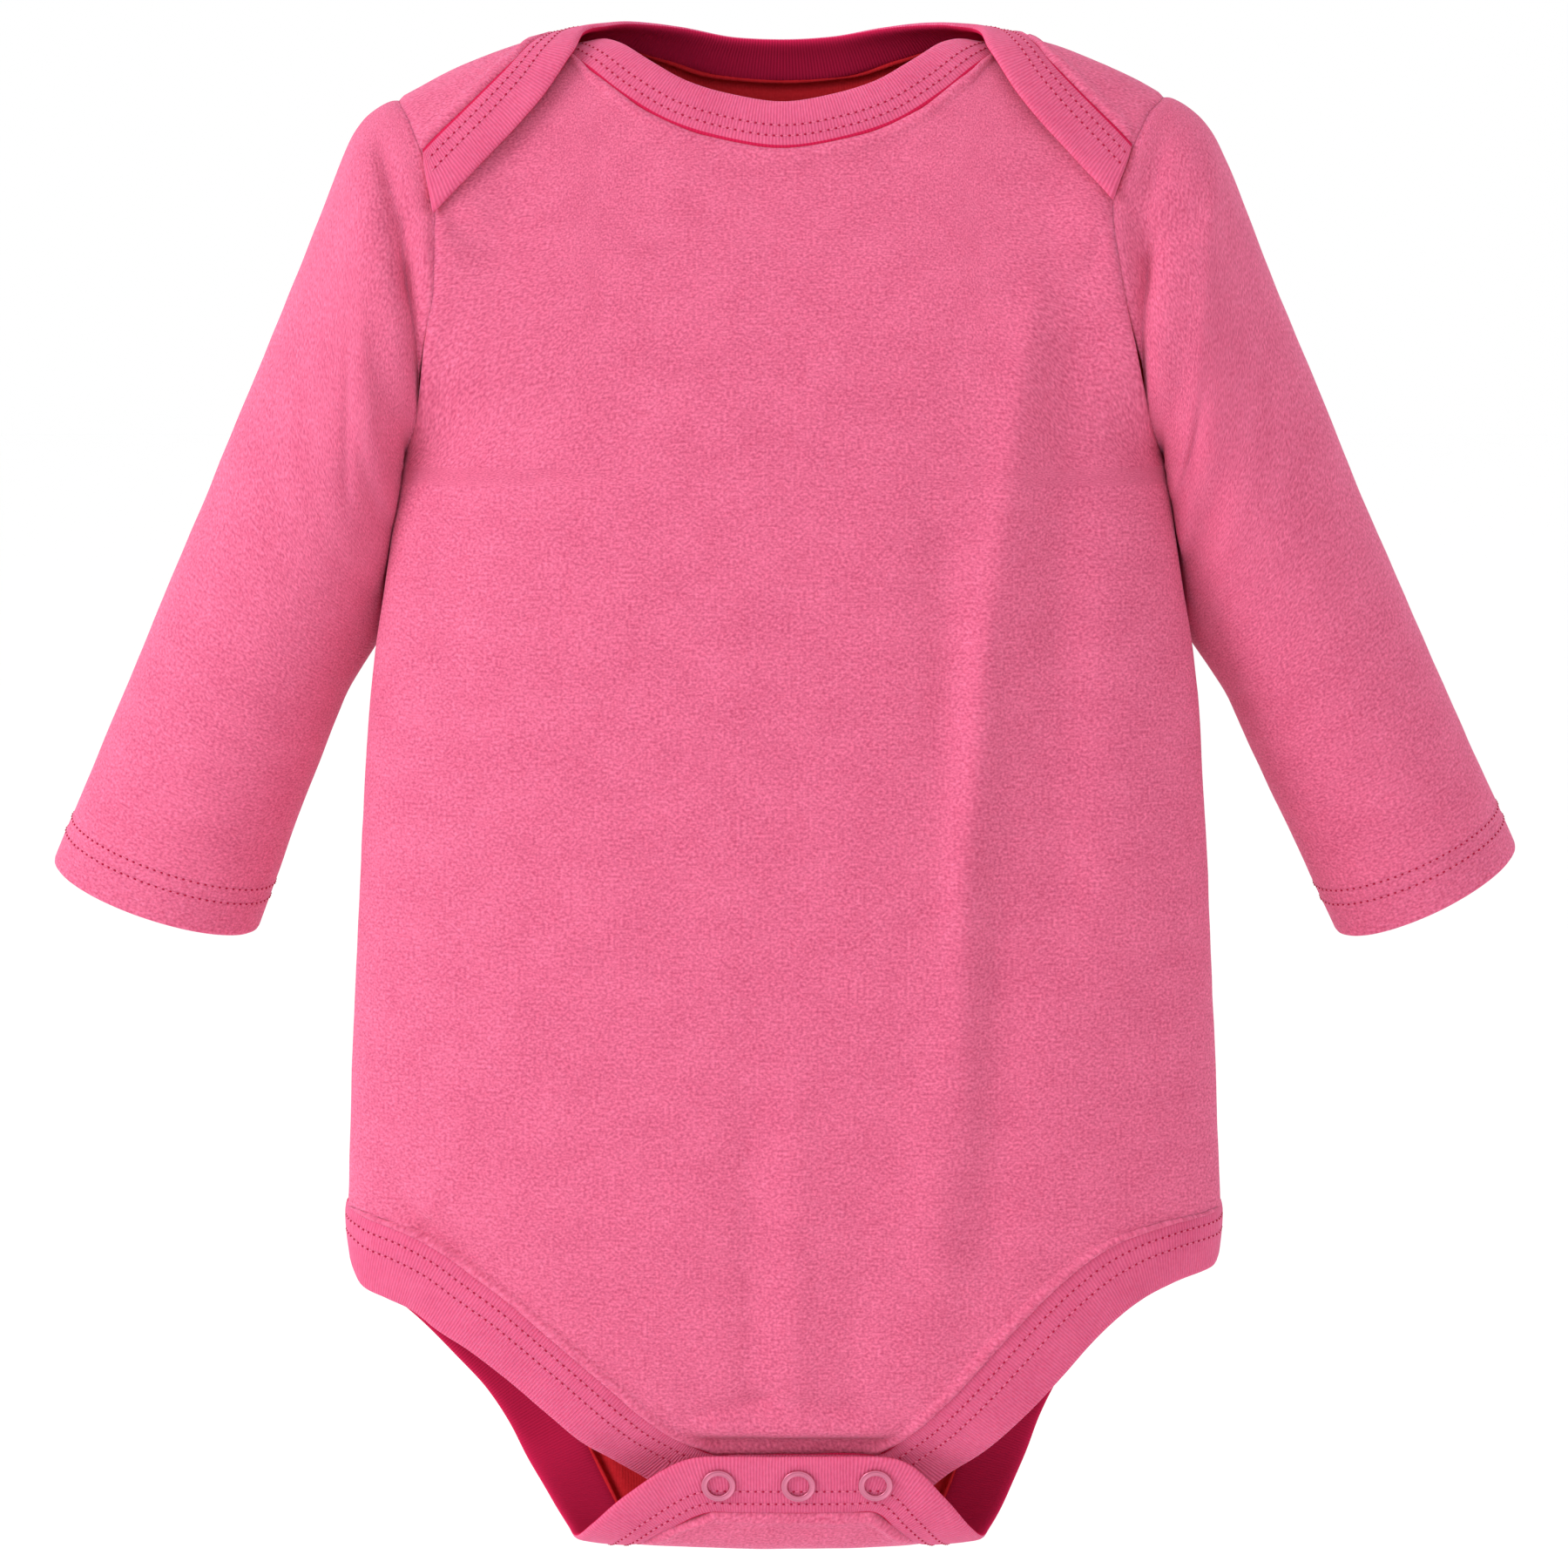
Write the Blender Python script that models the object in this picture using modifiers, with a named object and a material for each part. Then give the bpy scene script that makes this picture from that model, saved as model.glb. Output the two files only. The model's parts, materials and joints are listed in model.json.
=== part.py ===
"""Baby bodysuit: long sleeves, envelope neck, three snaps at the crotch.

The cloth is modelled as it hangs when filled out: a hollow body tube with an arch over the shoulders,
two sleeve tubes, and bindings round the neck and the legs. Units are metres and +Z is up. The front
faces -Y and the wearer's left is +X. The origin is the middle of the neck, level with the top of the
shoulders, where the wearer's shoulders carry the garment.
"""

import math
from collections import namedtuple

import bmesh
import bpy
from mathutils import Vector

# Cloth
JERSEY = 0.0012  # thickness of a single layer
BINDING = 0.0024  # thickness of the folded rib strip
SIDE_GAP = 0.0004  # clearance of the front and of the back from the line of the side seams
BINDING_GAP = 0.0007  # the same beside a binding, which is thicker
SLEEVE_GAP = 0.0006  # clearance at the armhole seam
LAP = 0.0042  # depth from the back's flap to the front's wing under it

# Body
UNDERARM_Z = -0.1200  # lowest point of the armholes
LOWEST_CENTRE_Z = -0.3700  # the hollow's centre line runs from the underarms down to here
SECTION_POWER = 2.3  # squareness of the body's level sections
FRONT_ARCH_POWER = 2.5  # squareness of the front's arch from chest to shoulder
BACK_ARCH_POWER = 3.2  # the same for the back, which is fuller under the neck
ARMHOLE_FULLNESS = 0.90  # depth at the armhole's edge as a share of the depth at the centre
ARMHOLE_ROUND = 4.4  # how soon the armhole widens above its lowest point
SHOULDER_FLAT_X = 0.0300  # the shoulder line starts to fall here
SHOULDER_END_X = 0.1050
SHOULDER_DROP = 0.0215  # fall of the shoulder line at the sleeve
SHOULDER_POWER = 2.1
CROTCH_LIFT = 0.0024  # rise of the crotch strip's sides
CROTCH_LIFT_X = 0.0550
CROTCH_LIFT_Z = (-0.3980, -0.4180)
FOLD_END_Z = (-0.3950, -0.4050)  # the body's folds fade out here

# One row for each level section, from the underarm down. y and z lie on the centre line, wall_x is
# the half-width of the whole section, seam_x is where the panel's cut edges lie, shift moves the
# section sideways and skew its cut edges alone. The last row lies past the panel's own end and gives
# its binding's slant.
WallRow = namedtuple("WallRow", "y z wall_x seam_x shift skew", defaults=(0.0,))

FRONT_WALL = (
    WallRow(-0.0380, -0.1200, 0.1044, 0.1044, 0.0),
    WallRow(-0.0385, -0.1480, 0.1084, 0.1084, 0.0),
    WallRow(-0.0390, -0.1700, 0.1120, 0.1120, 0.0),
    WallRow(-0.0393, -0.1950, 0.1146, 0.1146, 0.0),
    WallRow(-0.0397, -0.2200, 0.1160, 0.1160, 0.0),
    WallRow(-0.0401, -0.2450, 0.1173, 0.1173, 0.0),
    WallRow(-0.0404, -0.2700, 0.1186, 0.1186, 0.0),
    WallRow(-0.0405, -0.2930, 0.1197, 0.1197, 0.0),
    WallRow(-0.0402, -0.3120, 0.1205, 0.1205, 0.0),
    WallRow(-0.0395, -0.3243, 0.1209, 0.1209, 0.0),
    WallRow(-0.0394, -0.3250, 0.1209, 0.1185, 0.0),
    WallRow(-0.0392, -0.3264, 0.1209, 0.1100, 0.0, -0.0038),
    WallRow(-0.0388, -0.3290, 0.1209, 0.0998, 0.0, -0.0043),
    WallRow(-0.0382, -0.3336, 0.1209, 0.0901, 0.0, -0.0042),
    WallRow(-0.0372, -0.3400, 0.1209, 0.0813, 0.0, -0.0038),
    WallRow(-0.0362, -0.3470, 0.1209, 0.0726, 0.0, -0.0027),
    WallRow(-0.0349, -0.3555, 0.1209, 0.0637, 0.0, -0.0016),
    WallRow(-0.0335, -0.3650, 0.1209, 0.0541, 0.0, -0.0003),
    WallRow(-0.0319, -0.3740, 0.1209, 0.0450, 0.0, 0.0007),
    WallRow(-0.0285, -0.3811, 0.1209, 0.0376, 0.0010, 0.0003),
    WallRow(-0.0241, -0.3866, 0.1209, 0.0306, 0.0022),
    WallRow(-0.0212, -0.3914, 0.1209, 0.0232, 0.0034),
    WallRow(-0.0206, -0.3980, 0.1209, 0.0232, 0.0034),
)
FRONT_LEG_ROW = 9
FRONT_END_ROW = 21

BACK_WALL = (
    WallRow(0.0370, -0.1200, 0.1044, 0.1044, 0.0),
    WallRow(0.0366, -0.1480, 0.1084, 0.1084, 0.0),
    WallRow(0.0362, -0.1700, 0.1120, 0.1120, 0.0),
    WallRow(0.0360, -0.1950, 0.1146, 0.1146, 0.0),
    WallRow(0.0362, -0.2200, 0.1160, 0.1160, 0.0),
    WallRow(0.0372, -0.2450, 0.1173, 0.1173, 0.0),
    WallRow(0.0387, -0.2700, 0.1186, 0.1186, 0.0),
    WallRow(0.0402, -0.2930, 0.1197, 0.1197, 0.0),
    WallRow(0.0413, -0.3120, 0.1205, 0.1205, 0.0),
    WallRow(0.0418, -0.3243, 0.1209, 0.1209, 0.0),
    WallRow(0.0418, -0.3250, 0.1209, 0.1185, 0.0),
    WallRow(0.0419, -0.3268, 0.1209, 0.1147, -0.0008),
    WallRow(0.0419, -0.3302, 0.1209, 0.1090, -0.0045),
    WallRow(0.0418, -0.3358, 0.1209, 0.1022, -0.0074),
    WallRow(0.0416, -0.3425, 0.1209, 0.0942, -0.0078),
    WallRow(0.0410, -0.3520, 0.1209, 0.0848, -0.0072),
    WallRow(0.0398, -0.3630, 0.1209, 0.0758, -0.0058),
    WallRow(0.0380, -0.3740, 0.1209, 0.0675, -0.0042),
    WallRow(0.0353, -0.3850, 0.1209, 0.0610, -0.0032),
    WallRow(0.0312, -0.3960, 0.1209, 0.0556, -0.0024),
    WallRow(0.0250, -0.4062, 0.1209, 0.0509, -0.0018),
    WallRow(0.0165, -0.4145, 0.1209, 0.0467, -0.0014),
    WallRow(0.0060, -0.4196, 0.1209, 0.0431, -0.0013),
    WallRow(-0.0050, -0.4207, 0.1209, 0.0406, -0.0014),
    WallRow(-0.0140, -0.4184, 0.1209, 0.0377, -0.0014),
    WallRow(-0.0200, -0.4132, 0.1209, 0.0320, -0.0005),
    WallRow(-0.0236, -0.4066, 0.1209, 0.0228, 0.0024),
    WallRow(-0.0257, -0.3980, 0.1209, 0.0228, 0.0024),
)
BACK_LEG_ROW = 9
BACK_END_ROW = 26

# Distance of the armhole seams from the middle, by height up the armhole (0 underarm, 1 shoulder). The
# wearer's left one is pulled in a little.
ArmholeRow = namedtuple("ArmholeRow", "height right_x left_x")
ARMHOLE = (
    ArmholeRow(0.00, 0.1044, 0.1044),
    ArmholeRow(0.15, 0.0990, 0.0984),
    ArmholeRow(0.32, 0.0963, 0.0940),
    ArmholeRow(0.47, 0.0938, 0.0903),
    ArmholeRow(0.63, 0.0935, 0.0880),
    ArmholeRow(0.81, 0.0968, 0.0930),
    ArmholeRow(0.93, 0.1010, 0.0980),
    ArmholeRow(1.00, 0.1045, 0.1030),
)

# Cut edges at the neck, centre to armhole. across is a share of the armhole's half-width, turn is the
# angle round the shoulder arch: 0 at the front underarm, 180 on the shoulder, 360 at the back underarm.
NeckRow = namedtuple("NeckRow", "across turn")
FRONT_NECK = (
    NeckRow(0.00, 116.8),
    NeckRow(0.24, 121.0),
    NeckRow(0.40, 129.6),
    NeckRow(0.525, 147.4),
    NeckRow(0.585, 170.0),
    NeckRow(0.64, 187.0),
    NeckRow(0.72, 203.0),
    NeckRow(0.84, 218.4),
    NeckRow(1.00, 230.4),
)
BACK_NECK = (
    NeckRow(0.00, 221.2),
    NeckRow(0.20, 219.0),
    NeckRow(0.34, 211.5),
    NeckRow(0.44, 204.0),
    NeckRow(0.52, 196.0),
    NeckRow(0.585, 187.0),
    NeckRow(0.63, 175.0),
    NeckRow(0.70, 157.0),
    NeckRow(0.84, 141.6),
    NeckRow(1.00, 129.6),
)
LAP_TURN = (77.0, 104.0)  # the front sinks below the back's flap between these angles

FRONT_NECK_WIDTH = 0.0132
BACK_NECK_WIDTH = 0.0140
HEM_WIDTH = 0.0160
# Widths of the leg bindings where they differ from that, at their first stations from each side seam,
# on the wearer's right and left. The front's is eased wider round the legs.
FRONT_HEM_WIDTHS = (
    (0.0160, 0.0168, 0.0190, 0.0198, 0.0193, 0.0187, 0.0178, 0.0171, 0.0169, 0.0172, 0.0182, 0.0190),
    (0.0160, 0.0158, 0.0170, 0.0181, 0.0186, 0.0186, 0.0187, 0.0188, 0.0185, 0.0182, 0.0188, 0.0192),
)
BACK_HEM_WIDTHS = ((0.0160, 0.0146, 0.0118, 0.0118, 0.0150), ())
HEM_CURL = 0.0014
END_GAP = 0.0003  # further clearance between the ends of the front's and the back's leg bindings
NECK_END_SLANTS = (0.0080, 0.0058)  # how far the neck bindings' folded edges run on, right and left

# Largest folds of the body: a soft ridge (height > 0) or trough from one point to another, seen from
# the front or the back.
Fold = namedtuple("Fold", "x1 z1 x2 z2 height width")
FRONT_FOLDS = (
    Fold(0.062, -0.100, 0.055, -0.200, 0.0017, 0.0080),
    Fold(0.054, -0.195, 0.041, -0.318, 0.0016, 0.0075),
    Fold(0.077, -0.095, 0.074, -0.228, -0.0024, 0.0085),
    Fold(0.063, -0.198, 0.055, -0.322, -0.0016, 0.0080),
    Fold(0.040, -0.140, 0.040, -0.205, -0.0008, 0.0070),
    Fold(-0.093, -0.098, -0.091, -0.165, -0.0013, 0.0085),
    Fold(-0.106, -0.326, -0.087, -0.337, -0.0012, 0.0065),
    Fold(-0.022, -0.374, 0.026, -0.376, -0.0012, 0.0050),
)
BACK_FOLDS = (
    Fold(-0.060, -0.110, -0.052, -0.250, 0.0016, 0.0085),
    Fold(-0.074, -0.120, -0.068, -0.235, -0.0018, 0.0085),
    Fold(0.055, -0.150, 0.048, -0.300, -0.0016, 0.0090),
    Fold(0.040, -0.160, 0.034, -0.310, 0.0012, 0.0085),
    Fold(-0.040, -0.392, 0.036, -0.394, -0.0014, 0.0070),
)

# Sleeve, one row for each section from the armhole to the cuff: the ends of the section beside the
# body and away from it, its half-depth, how far back its middle lies, how far its front leans down.
SleeveRow = namedtuple("SleeveRow", "near_x near_z far_x far_z depth back lean")
SLEEVE = (
    SleeveRow(0.1048, -0.1200, 0.1050, -0.0215, 0.0325, 0.0000, 0.0),
    SleeveRow(0.1064, -0.1207, 0.1086, -0.0228, 0.0322, 0.0000, 0.0),
    SleeveRow(0.1071, -0.1238, 0.1126, -0.0256, 0.0320, 0.0003, 0.0),
    SleeveRow(0.1077, -0.1284, 0.1162, -0.0304, 0.0315, 0.0008, 0.0),
    SleeveRow(0.1084, -0.1336, 0.1198, -0.0378, 0.0308, 0.0015, 0.5),
    SleeveRow(0.1094, -0.1392, 0.1246, -0.0490, 0.0300, 0.0026, 1.5),
    SleeveRow(0.1105, -0.1452, 0.1304, -0.0628, 0.0290, 0.0040, 2.5),
    SleeveRow(0.1119, -0.1514, 0.1376, -0.0796, 0.0280, 0.0060, 4.0),
    SleeveRow(0.1137, -0.1582, 0.1462, -0.0998, 0.0272, 0.0084, 5.5),
    SleeveRow(0.1163, -0.1670, 0.1562, -0.1230, 0.0264, 0.0110, 6.6),
    SleeveRow(0.1203, -0.1790, 0.1662, -0.1462, 0.0258, 0.0138, 7.6),
    SleeveRow(0.1262, -0.1934, 0.1754, -0.1672, 0.0252, 0.0166, 8.6),
    SleeveRow(0.1322, -0.2078, 0.1838, -0.1868, 0.0245, 0.0194, 9.6),
    SleeveRow(0.1380, -0.2220, 0.1916, -0.2048, 0.0236, 0.0222, 10.6),
    SleeveRow(0.1432, -0.2358, 0.1980, -0.2196, 0.0228, 0.0252, 11.4),
    SleeveRow(0.1483, -0.2491, 0.2035, -0.2331, 0.0220, 0.0280, 12.0),
)
ARMHOLE_BLEND = 3.0  # the section turns from the armhole's shape to an oval over these rows

# Each sleeve's own pose: x sign of its side and how far the cuff's ends lie from the rows above.
SleevePose = namedtuple("SleevePose", "name side near_out near_up far_out far_up")
SLEEVE_POSES = (
    SleevePose("sleeve_right", -1.0, 0.0, -0.0018, 0.0010, 0.0010),
    SleevePose("sleeve_left", 1.0, 0.0074, -0.0024, 0.0014, 0.0050),
)
POSE_START_ROW = 8

# Folds of the sleeves: soft ridges or troughs between two places, each a row number of the table
# above and an angle round the sleeve: 0 beside the body, 90 in front, 180 away from it, 270 behind.
SleeveFold = namedtuple("SleeveFold", "side row1 turn1 row2 turn2 height width")
SLEEVE_FOLDS = (
    SleeveFold(-1.0, 1.6, 148.0, 1.8, 60.0, -0.0026, 0.9),
    SleeveFold(-1.0, 3.6, 140.0, 4.2, 60.0, 0.0010, 1.1),
    SleeveFold(-1.0, 6.0, 40.0, 9.0, 30.0, -0.0014, 0.9),
    SleeveFold(1.0, 1.5, 150.0, 1.8, 60.0, -0.0026, 0.9),
    SleeveFold(1.0, 2.0, 105.0, 5.0, 130.0, -0.0016, 0.7),
    SleeveFold(1.0, 5.5, 45.0, 8.5, 35.0, -0.0018, 0.9),
    SleeveFold(-1.0, 1.7, 215.0, 1.9, 300.0, -0.0024, 0.9),
    SleeveFold(1.0, 1.7, 215.0, 1.9, 300.0, -0.0024, 0.9),
    SleeveFold(-1.0, 2.5, 250.0, 6.0, 225.0, -0.0014, 0.8),
)
FOLD_TURN_SCALE = 20.0  # degrees round the sleeve that count as one row along it

# The cuff's turned hem: row numbers along the sleeve and how far inside the outer layer it lies.
CUFF_FOLD = ((14.94, 0.0), (15.0, 0.0005), (15.0, 0.0013), (14.94, 0.0018), (14.06, 0.0018))

# Snaps: ring snaps in a row, through the flap and the tab.
SNAP_X = (-0.0180, 0.0039, 0.0251)
SNAP_NAMES = ("right", "middle", "left")
FLAP_TO_TAB = 0.0057  # between the middles of the two layers
SNAP_RADIUS = 0.0047
RING_WIRE = 0.0008
SOCKET_HOLE = 0.0024
SOCKET_HEIGHT = 0.0010
STUD_BASE = 0.0005
STUD_POST = 0.0019
SNAP_GAP = 0.0007

# Mesh
# The body's columns as shares of its half-width, closer where the neck edges cross the shoulder.
COLUMN_SHARES = (0.0, 0.17, 0.33, 0.45, 0.535, 0.60, 0.665, 0.74, 0.82, 0.895, 0.95, 0.987, 1.0)
HALF_COLUMNS = len(COLUMN_SHARES) - 1
SLEEVE_COLUMNS = 25
ARCH_ROWS = 16  # SLEEVE_COLUMNS * 230.4 / 360, so that the armhole's points meet the sleeve's
STRIP_CELLS = 3
END_STATIONS = 6  # strip cells along the end of the flap and of the tab
RING_STEPS = 18
NUDGE = 0.004

PINK_JERSEY = (0.84, 0.16, 0.30)
PINK_RIB = (0.83, 0.13, 0.27)
NICKEL = (0.78, 0.70, 0.68)


def clear_scene():
    for obj in list(bpy.data.objects):
        bpy.data.objects.remove(obj, do_unlink=True)


def make_material(name, colour, roughness, metallic):
    material = bpy.data.materials.new(name)
    material.use_nodes = True
    shader = material.node_tree.nodes["Principled BSDF"]
    shader.inputs["Base Color"].default_value = (*colour, 1.0)
    shader.inputs["Roughness"].default_value = roughness
    shader.inputs["Metallic"].default_value = metallic
    return material


def smoothstep(value, start, end):
    share = min(max((value - start) / (end - start), 0.0), 1.0)
    return share * share * (3.0 - 2.0 * share)


def slope(before, here, after):
    """A slope through three values that never overshoots them."""
    rise_in = here - before
    rise_out = after - here
    if rise_in * rise_out <= 0.0:
        return 0.0
    return 2.0 * rise_in * rise_out / (rise_in + rise_out)


def row_at(rows, place):
    """The table's columns at a fractional row number, on smooth curves through the rows."""
    last = len(rows) - 1
    place = min(max(place, 0.0), float(last))
    first = min(int(place), last - 1)
    share = place - first
    values = []
    for column in range(len(rows[0])):
        line = [row[column] for row in rows]
        start, end = line[first], line[first + 1]
        before = line[first - 1] if first > 0 else 2.0 * start - end
        after = line[first + 2] if first + 2 <= last else 2.0 * end - start
        slope_in = slope(before, start, end)
        slope_out = slope(start, end, after)
        square = share * share
        cube = square * share
        values.append(
            (2 * cube - 3 * square + 1) * start
            + (cube - 2 * square + share) * slope_in
            + (3 * square - 2 * cube) * end
            + (cube - square) * slope_out
        )
    return type(rows[0])(*values)


def value_at(rows, key, column=1):
    """One column of a table, at a value of its first column."""
    for number in range(len(rows) - 1):
        if key <= rows[number + 1][0] or number == len(rows) - 2:
            share = (key - rows[number][0]) / (rows[number + 1][0] - rows[number][0])
            return row_at(rows, number + share)[column]


def fold_height(folds, x, z):
    total = 0.0
    for fold in folds:
        length = math.hypot(fold.x2 - fold.x1, fold.z2 - fold.z1)
        along_x = (fold.x2 - fold.x1) / length
        along_z = (fold.z2 - fold.z1) / length
        along = (x - fold.x1) * along_x + (z - fold.z1) * along_z
        aside = (x - fold.x1) * along_z - (z - fold.z1) * along_x
        past_end = max(-along, along - length, 0.0)
        distance = math.hypot(aside, 0.4 * past_end) / fold.width
        total += fold.height * math.exp(-distance * distance)
    return total


def across_wall(x, wall_x):
    """Depth at x as a share of the depth at the centre of a level section."""
    share = min(abs(x) / wall_x, 1.0)
    return (1.0 - share**SECTION_POWER) ** (1.0 / SECTION_POWER)


def wall_point(rows, folds, row, x):
    """A point of the body's wall below the underarm, on a level section, x from its middle."""
    lift = CROTCH_LIFT * (x / CROTCH_LIFT_X) ** 2 * smoothstep(row.z, *CROTCH_LIFT_Z)
    facing = 1.0 - smoothstep(row.z, *FOLD_END_Z)
    out = fold_height(folds, x, row.z) * facing + SIDE_GAP
    y = row.y * across_wall(x, row.wall_x) + math.copysign(out, rows[0].y)
    return Vector((x + row.shift, y, row.z + lift))


def cut_x(row, across):
    """How far from the middle a share of the panel's cut half-width lies."""
    return row.seam_x * across + row.skew * across * across


def front_wall(across, place):
    row = row_at(FRONT_WALL, place)
    return wall_point(FRONT_WALL, FRONT_FOLDS, row, cut_x(row, across))


def back_wall(across, place):
    row = row_at(BACK_WALL, place)
    return wall_point(BACK_WALL, BACK_FOLDS, row, cut_x(row, across))


def front_round(share, place):
    """The front's wall again, by share of the quarter turn from its centre line to its side."""
    row = row_at(FRONT_WALL, place)
    return wall_point(FRONT_WALL, FRONT_FOLDS, row, row.wall_x * math.sin(share * math.pi / 2.0))


def back_round(share, place):
    """The back's wall in the same way."""
    row = row_at(BACK_WALL, place)
    return wall_point(BACK_WALL, BACK_FOLDS, row, row.wall_x * math.sin(share * math.pi / 2.0))


def shoulder_z(x):
    share = max(abs(x) - SHOULDER_FLAT_X, 0.0) / (SHOULDER_END_X - SHOULDER_FLAT_X)
    return -SHOULDER_DROP * share**SHOULDER_POWER


def arch_point(across, turn):
    """A point of the arch over the shoulders, turn degrees round from the front underarm's level."""
    height = math.sin(math.radians(turn) / 2.0) ** 2
    is_front = turn < 180.0
    power = FRONT_ARCH_POWER if is_front else BACK_ARCH_POWER
    depth = FRONT_WALL[0].y if is_front else BACK_WALL[0].y
    depth *= (1.0 - height**power) ** (1.0 / power)
    x = value_at(ARMHOLE, height, 1 if across < 0.0 else 2) * across
    fullness = ARMHOLE_FULLNESS * math.tanh(ARMHOLE_ROUND * height)
    edge = (1.0 - fullness**SECTION_POWER) ** (1.0 / SECTION_POWER)
    y = depth * across_wall(across * edge, 1.0)
    z = UNDERARM_Z + (shoulder_z(x) - UNDERARM_Z) * height
    folds = FRONT_FOLDS if is_front else BACK_FOLDS
    fade = 1.0 - smoothstep(height, 0.3, 0.7)
    y += math.copysign(fold_height(folds, x, z) * fade + SIDE_GAP, depth)
    return Vector((x, y, z))


def normal_at(surface, across, place, step):
    """The outward unit normal of a surface, by small steps towards its middle and along it."""
    inward = -NUDGE if across > 0.0 else NUDGE
    here = surface(across, place)
    sideways = (surface(across + inward, place) - here) / inward
    along = surface(across, place + step) - surface(across, place - step)
    normal = sideways.cross(along).normalized()
    centre_line = Vector((0.0, 0.0, min(max(here.z, LOWEST_CENTRE_Z), UNDERARM_Z)))
    return normal if normal.dot(here - centre_line) > 0.0 else -normal


def lapped_arch(across, turn):
    """The arch as the front panel has it, sunk under the back's flaps towards the shoulder."""
    sink = LAP * smoothstep(turn, *LAP_TURN)
    return arch_point(across, turn) - sink * normal_at(arch_point, across, max(turn, 1.0), 0.5)


def sheet(name, columns, rows, place, thickness, material, closed=False):
    """A cloth piece: a grid whose points are placed by column and row, thickened about its middle."""
    mesh = bpy.data.meshes.new(name)
    grid = bmesh.new()
    bmesh.ops.create_grid(grid, x_segments=columns, y_segments=rows, size=1.0)
    for vert in grid.verts:
        column = round((vert.co.x + 1.0) / 2.0 * columns)
        row = round((vert.co.y + 1.0) / 2.0 * rows)
        vert.co = place(column, row)
    if closed:
        bmesh.ops.remove_doubles(grid, verts=grid.verts, dist=0.00001)
    grid.to_mesh(mesh)
    grid.free()
    mesh.shade_smooth()
    mesh.materials.append(material)
    obj = bpy.data.objects.new(name, mesh)
    garment.objects.link(obj)
    wall = obj.modifiers.new("cloth", "SOLIDIFY")
    wall.thickness = thickness
    wall.offset = 0.0
    return obj


def spread(column):
    """A panel's column as a share of its half-width, negative on the wearer's right."""
    offset = column - HALF_COLUMNS
    return math.copysign(COLUMN_SHARES[abs(offset)], offset)


def make_panel(name, wall, arch, end_row, neck, start_turn):
    """A body panel: rows up its wall from its lower end, then round the arch to the neckline."""

    def place(column, row):
        across = spread(column)
        if row < end_row:
            return wall(across, end_row - row)
        end_turn = value_at(neck, abs(across))
        return arch(across, start_turn + (end_turn - start_turn) * (row - end_row) / ARCH_ROWS)

    return sheet(name, 2 * HALF_COLUMNS, end_row + ARCH_ROWS, place, JERSEY, jersey)


def round_share(row, x):
    """The share of the quarter turn at which a section's point lies x from its middle."""
    return math.asin(x / row.wall_x) * 2.0 / math.pi


def hem_stations(rows, leg_row, end_row):
    """The panel's lower edge from side seam to side seam: down one leg, along the end, up the other."""
    numbers = range(leg_row, end_row + 1)
    right = [(round_share(rows[number], cut_x(rows[number], -1.0)), number) for number in numbers]
    left = [(round_share(rows[number], cut_x(rows[number], 1.0)), number) for number in numbers]
    run = (left[-1][0] - right[-1][0]) / END_STATIONS
    end = [(right[-1][0] + run * step, end_row) for step in range(1, END_STATIONS)]
    return right + end + left[::-1]


def neck_stations(neck):
    """The panel's upper edge from armhole to armhole."""
    shares = [spread(column) for column in range(2 * HALF_COLUMNS + 1)]
    return [(across, value_at(neck, abs(across))) for across in shares]


def step_out(surface, start, direction, distance, place_step):
    """Points laid out along the surface in a direction, one for each cell of a strip."""
    across, place = start
    point = surface(across, place)
    points = []
    for _ in range(STRIP_CELLS):
        nudge = -NUDGE if across > 0.0 else NUDGE
        by_across = (surface(across + nudge, place) - point) / nudge
        by_place = (surface(across, place + place_step) - point) / place_step
        wanted = direction * (distance / STRIP_CELLS)
        square_a = by_across.dot(by_across)
        square_p = by_place.dot(by_place)
        mixed = by_across.dot(by_place)
        want_a = by_across.dot(wanted)
        want_p = by_place.dot(wanted)
        determinant = square_a * square_p - mixed * mixed
        across += (want_a * square_p - want_p * mixed) / determinant
        place += (want_p * square_a - want_a * mixed) / determinant
        following = surface(across, place)
        direction = (following - point).normalized()
        point = following
        points.append(point)
    return points


def lay_straight(seam, outward, normal, width, share):
    """A point of a leg or crotch binding, its folded edge drawn in a little."""
    return seam + outward * (BINDING_GAP + width * share) - normal * (HEM_CURL * share * share)


def edge_frames(surface, stations, side, place_step):
    """For each station of an edge: its point, the way along, the way out on one side, the normal."""
    seam = [surface(*station) for station in stations]
    last = len(stations) - 1
    frames = []
    for number, station in enumerate(stations):
        along = (seam[min(number + 1, last)] - seam[max(number - 1, 0)]).normalized()
        normal = normal_at(surface, *station, place_step)
        frames.append((seam[number], along, along.cross(normal).normalized() * side, normal))
    return frames


def make_hem_strip(name, surface, stations, side, end_widths):
    """A binding laid straight off a panel's lower edge, its ends hanging down at the side seams."""
    last = len(stations) - 1
    right, left = end_widths
    even = (HEM_WIDTH,) * (len(stations) - len(right) - len(left))
    widths = right + even + left[::-1]
    lines = []
    for number, frame in enumerate(edge_frames(surface, stations, side, 0.1)):
        seam, _, outward, normal = frame
        if number in (0, last):
            seam.y += math.copysign(END_GAP, seam.y)
            outward = Vector((0.0, 0.0, -1.0))
            normal = Vector((math.copysign(1.0, seam.x), 0.0, 0.0))
        shares = [cell / STRIP_CELLS for cell in range(STRIP_CELLS + 1)]
        width = widths[number]
        lines.append([lay_straight(seam, outward, normal, width, share) for share in shares])
    return sheet(name, last, STRIP_CELLS, lambda column, row: lines[column][row], BINDING, rib)


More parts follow.
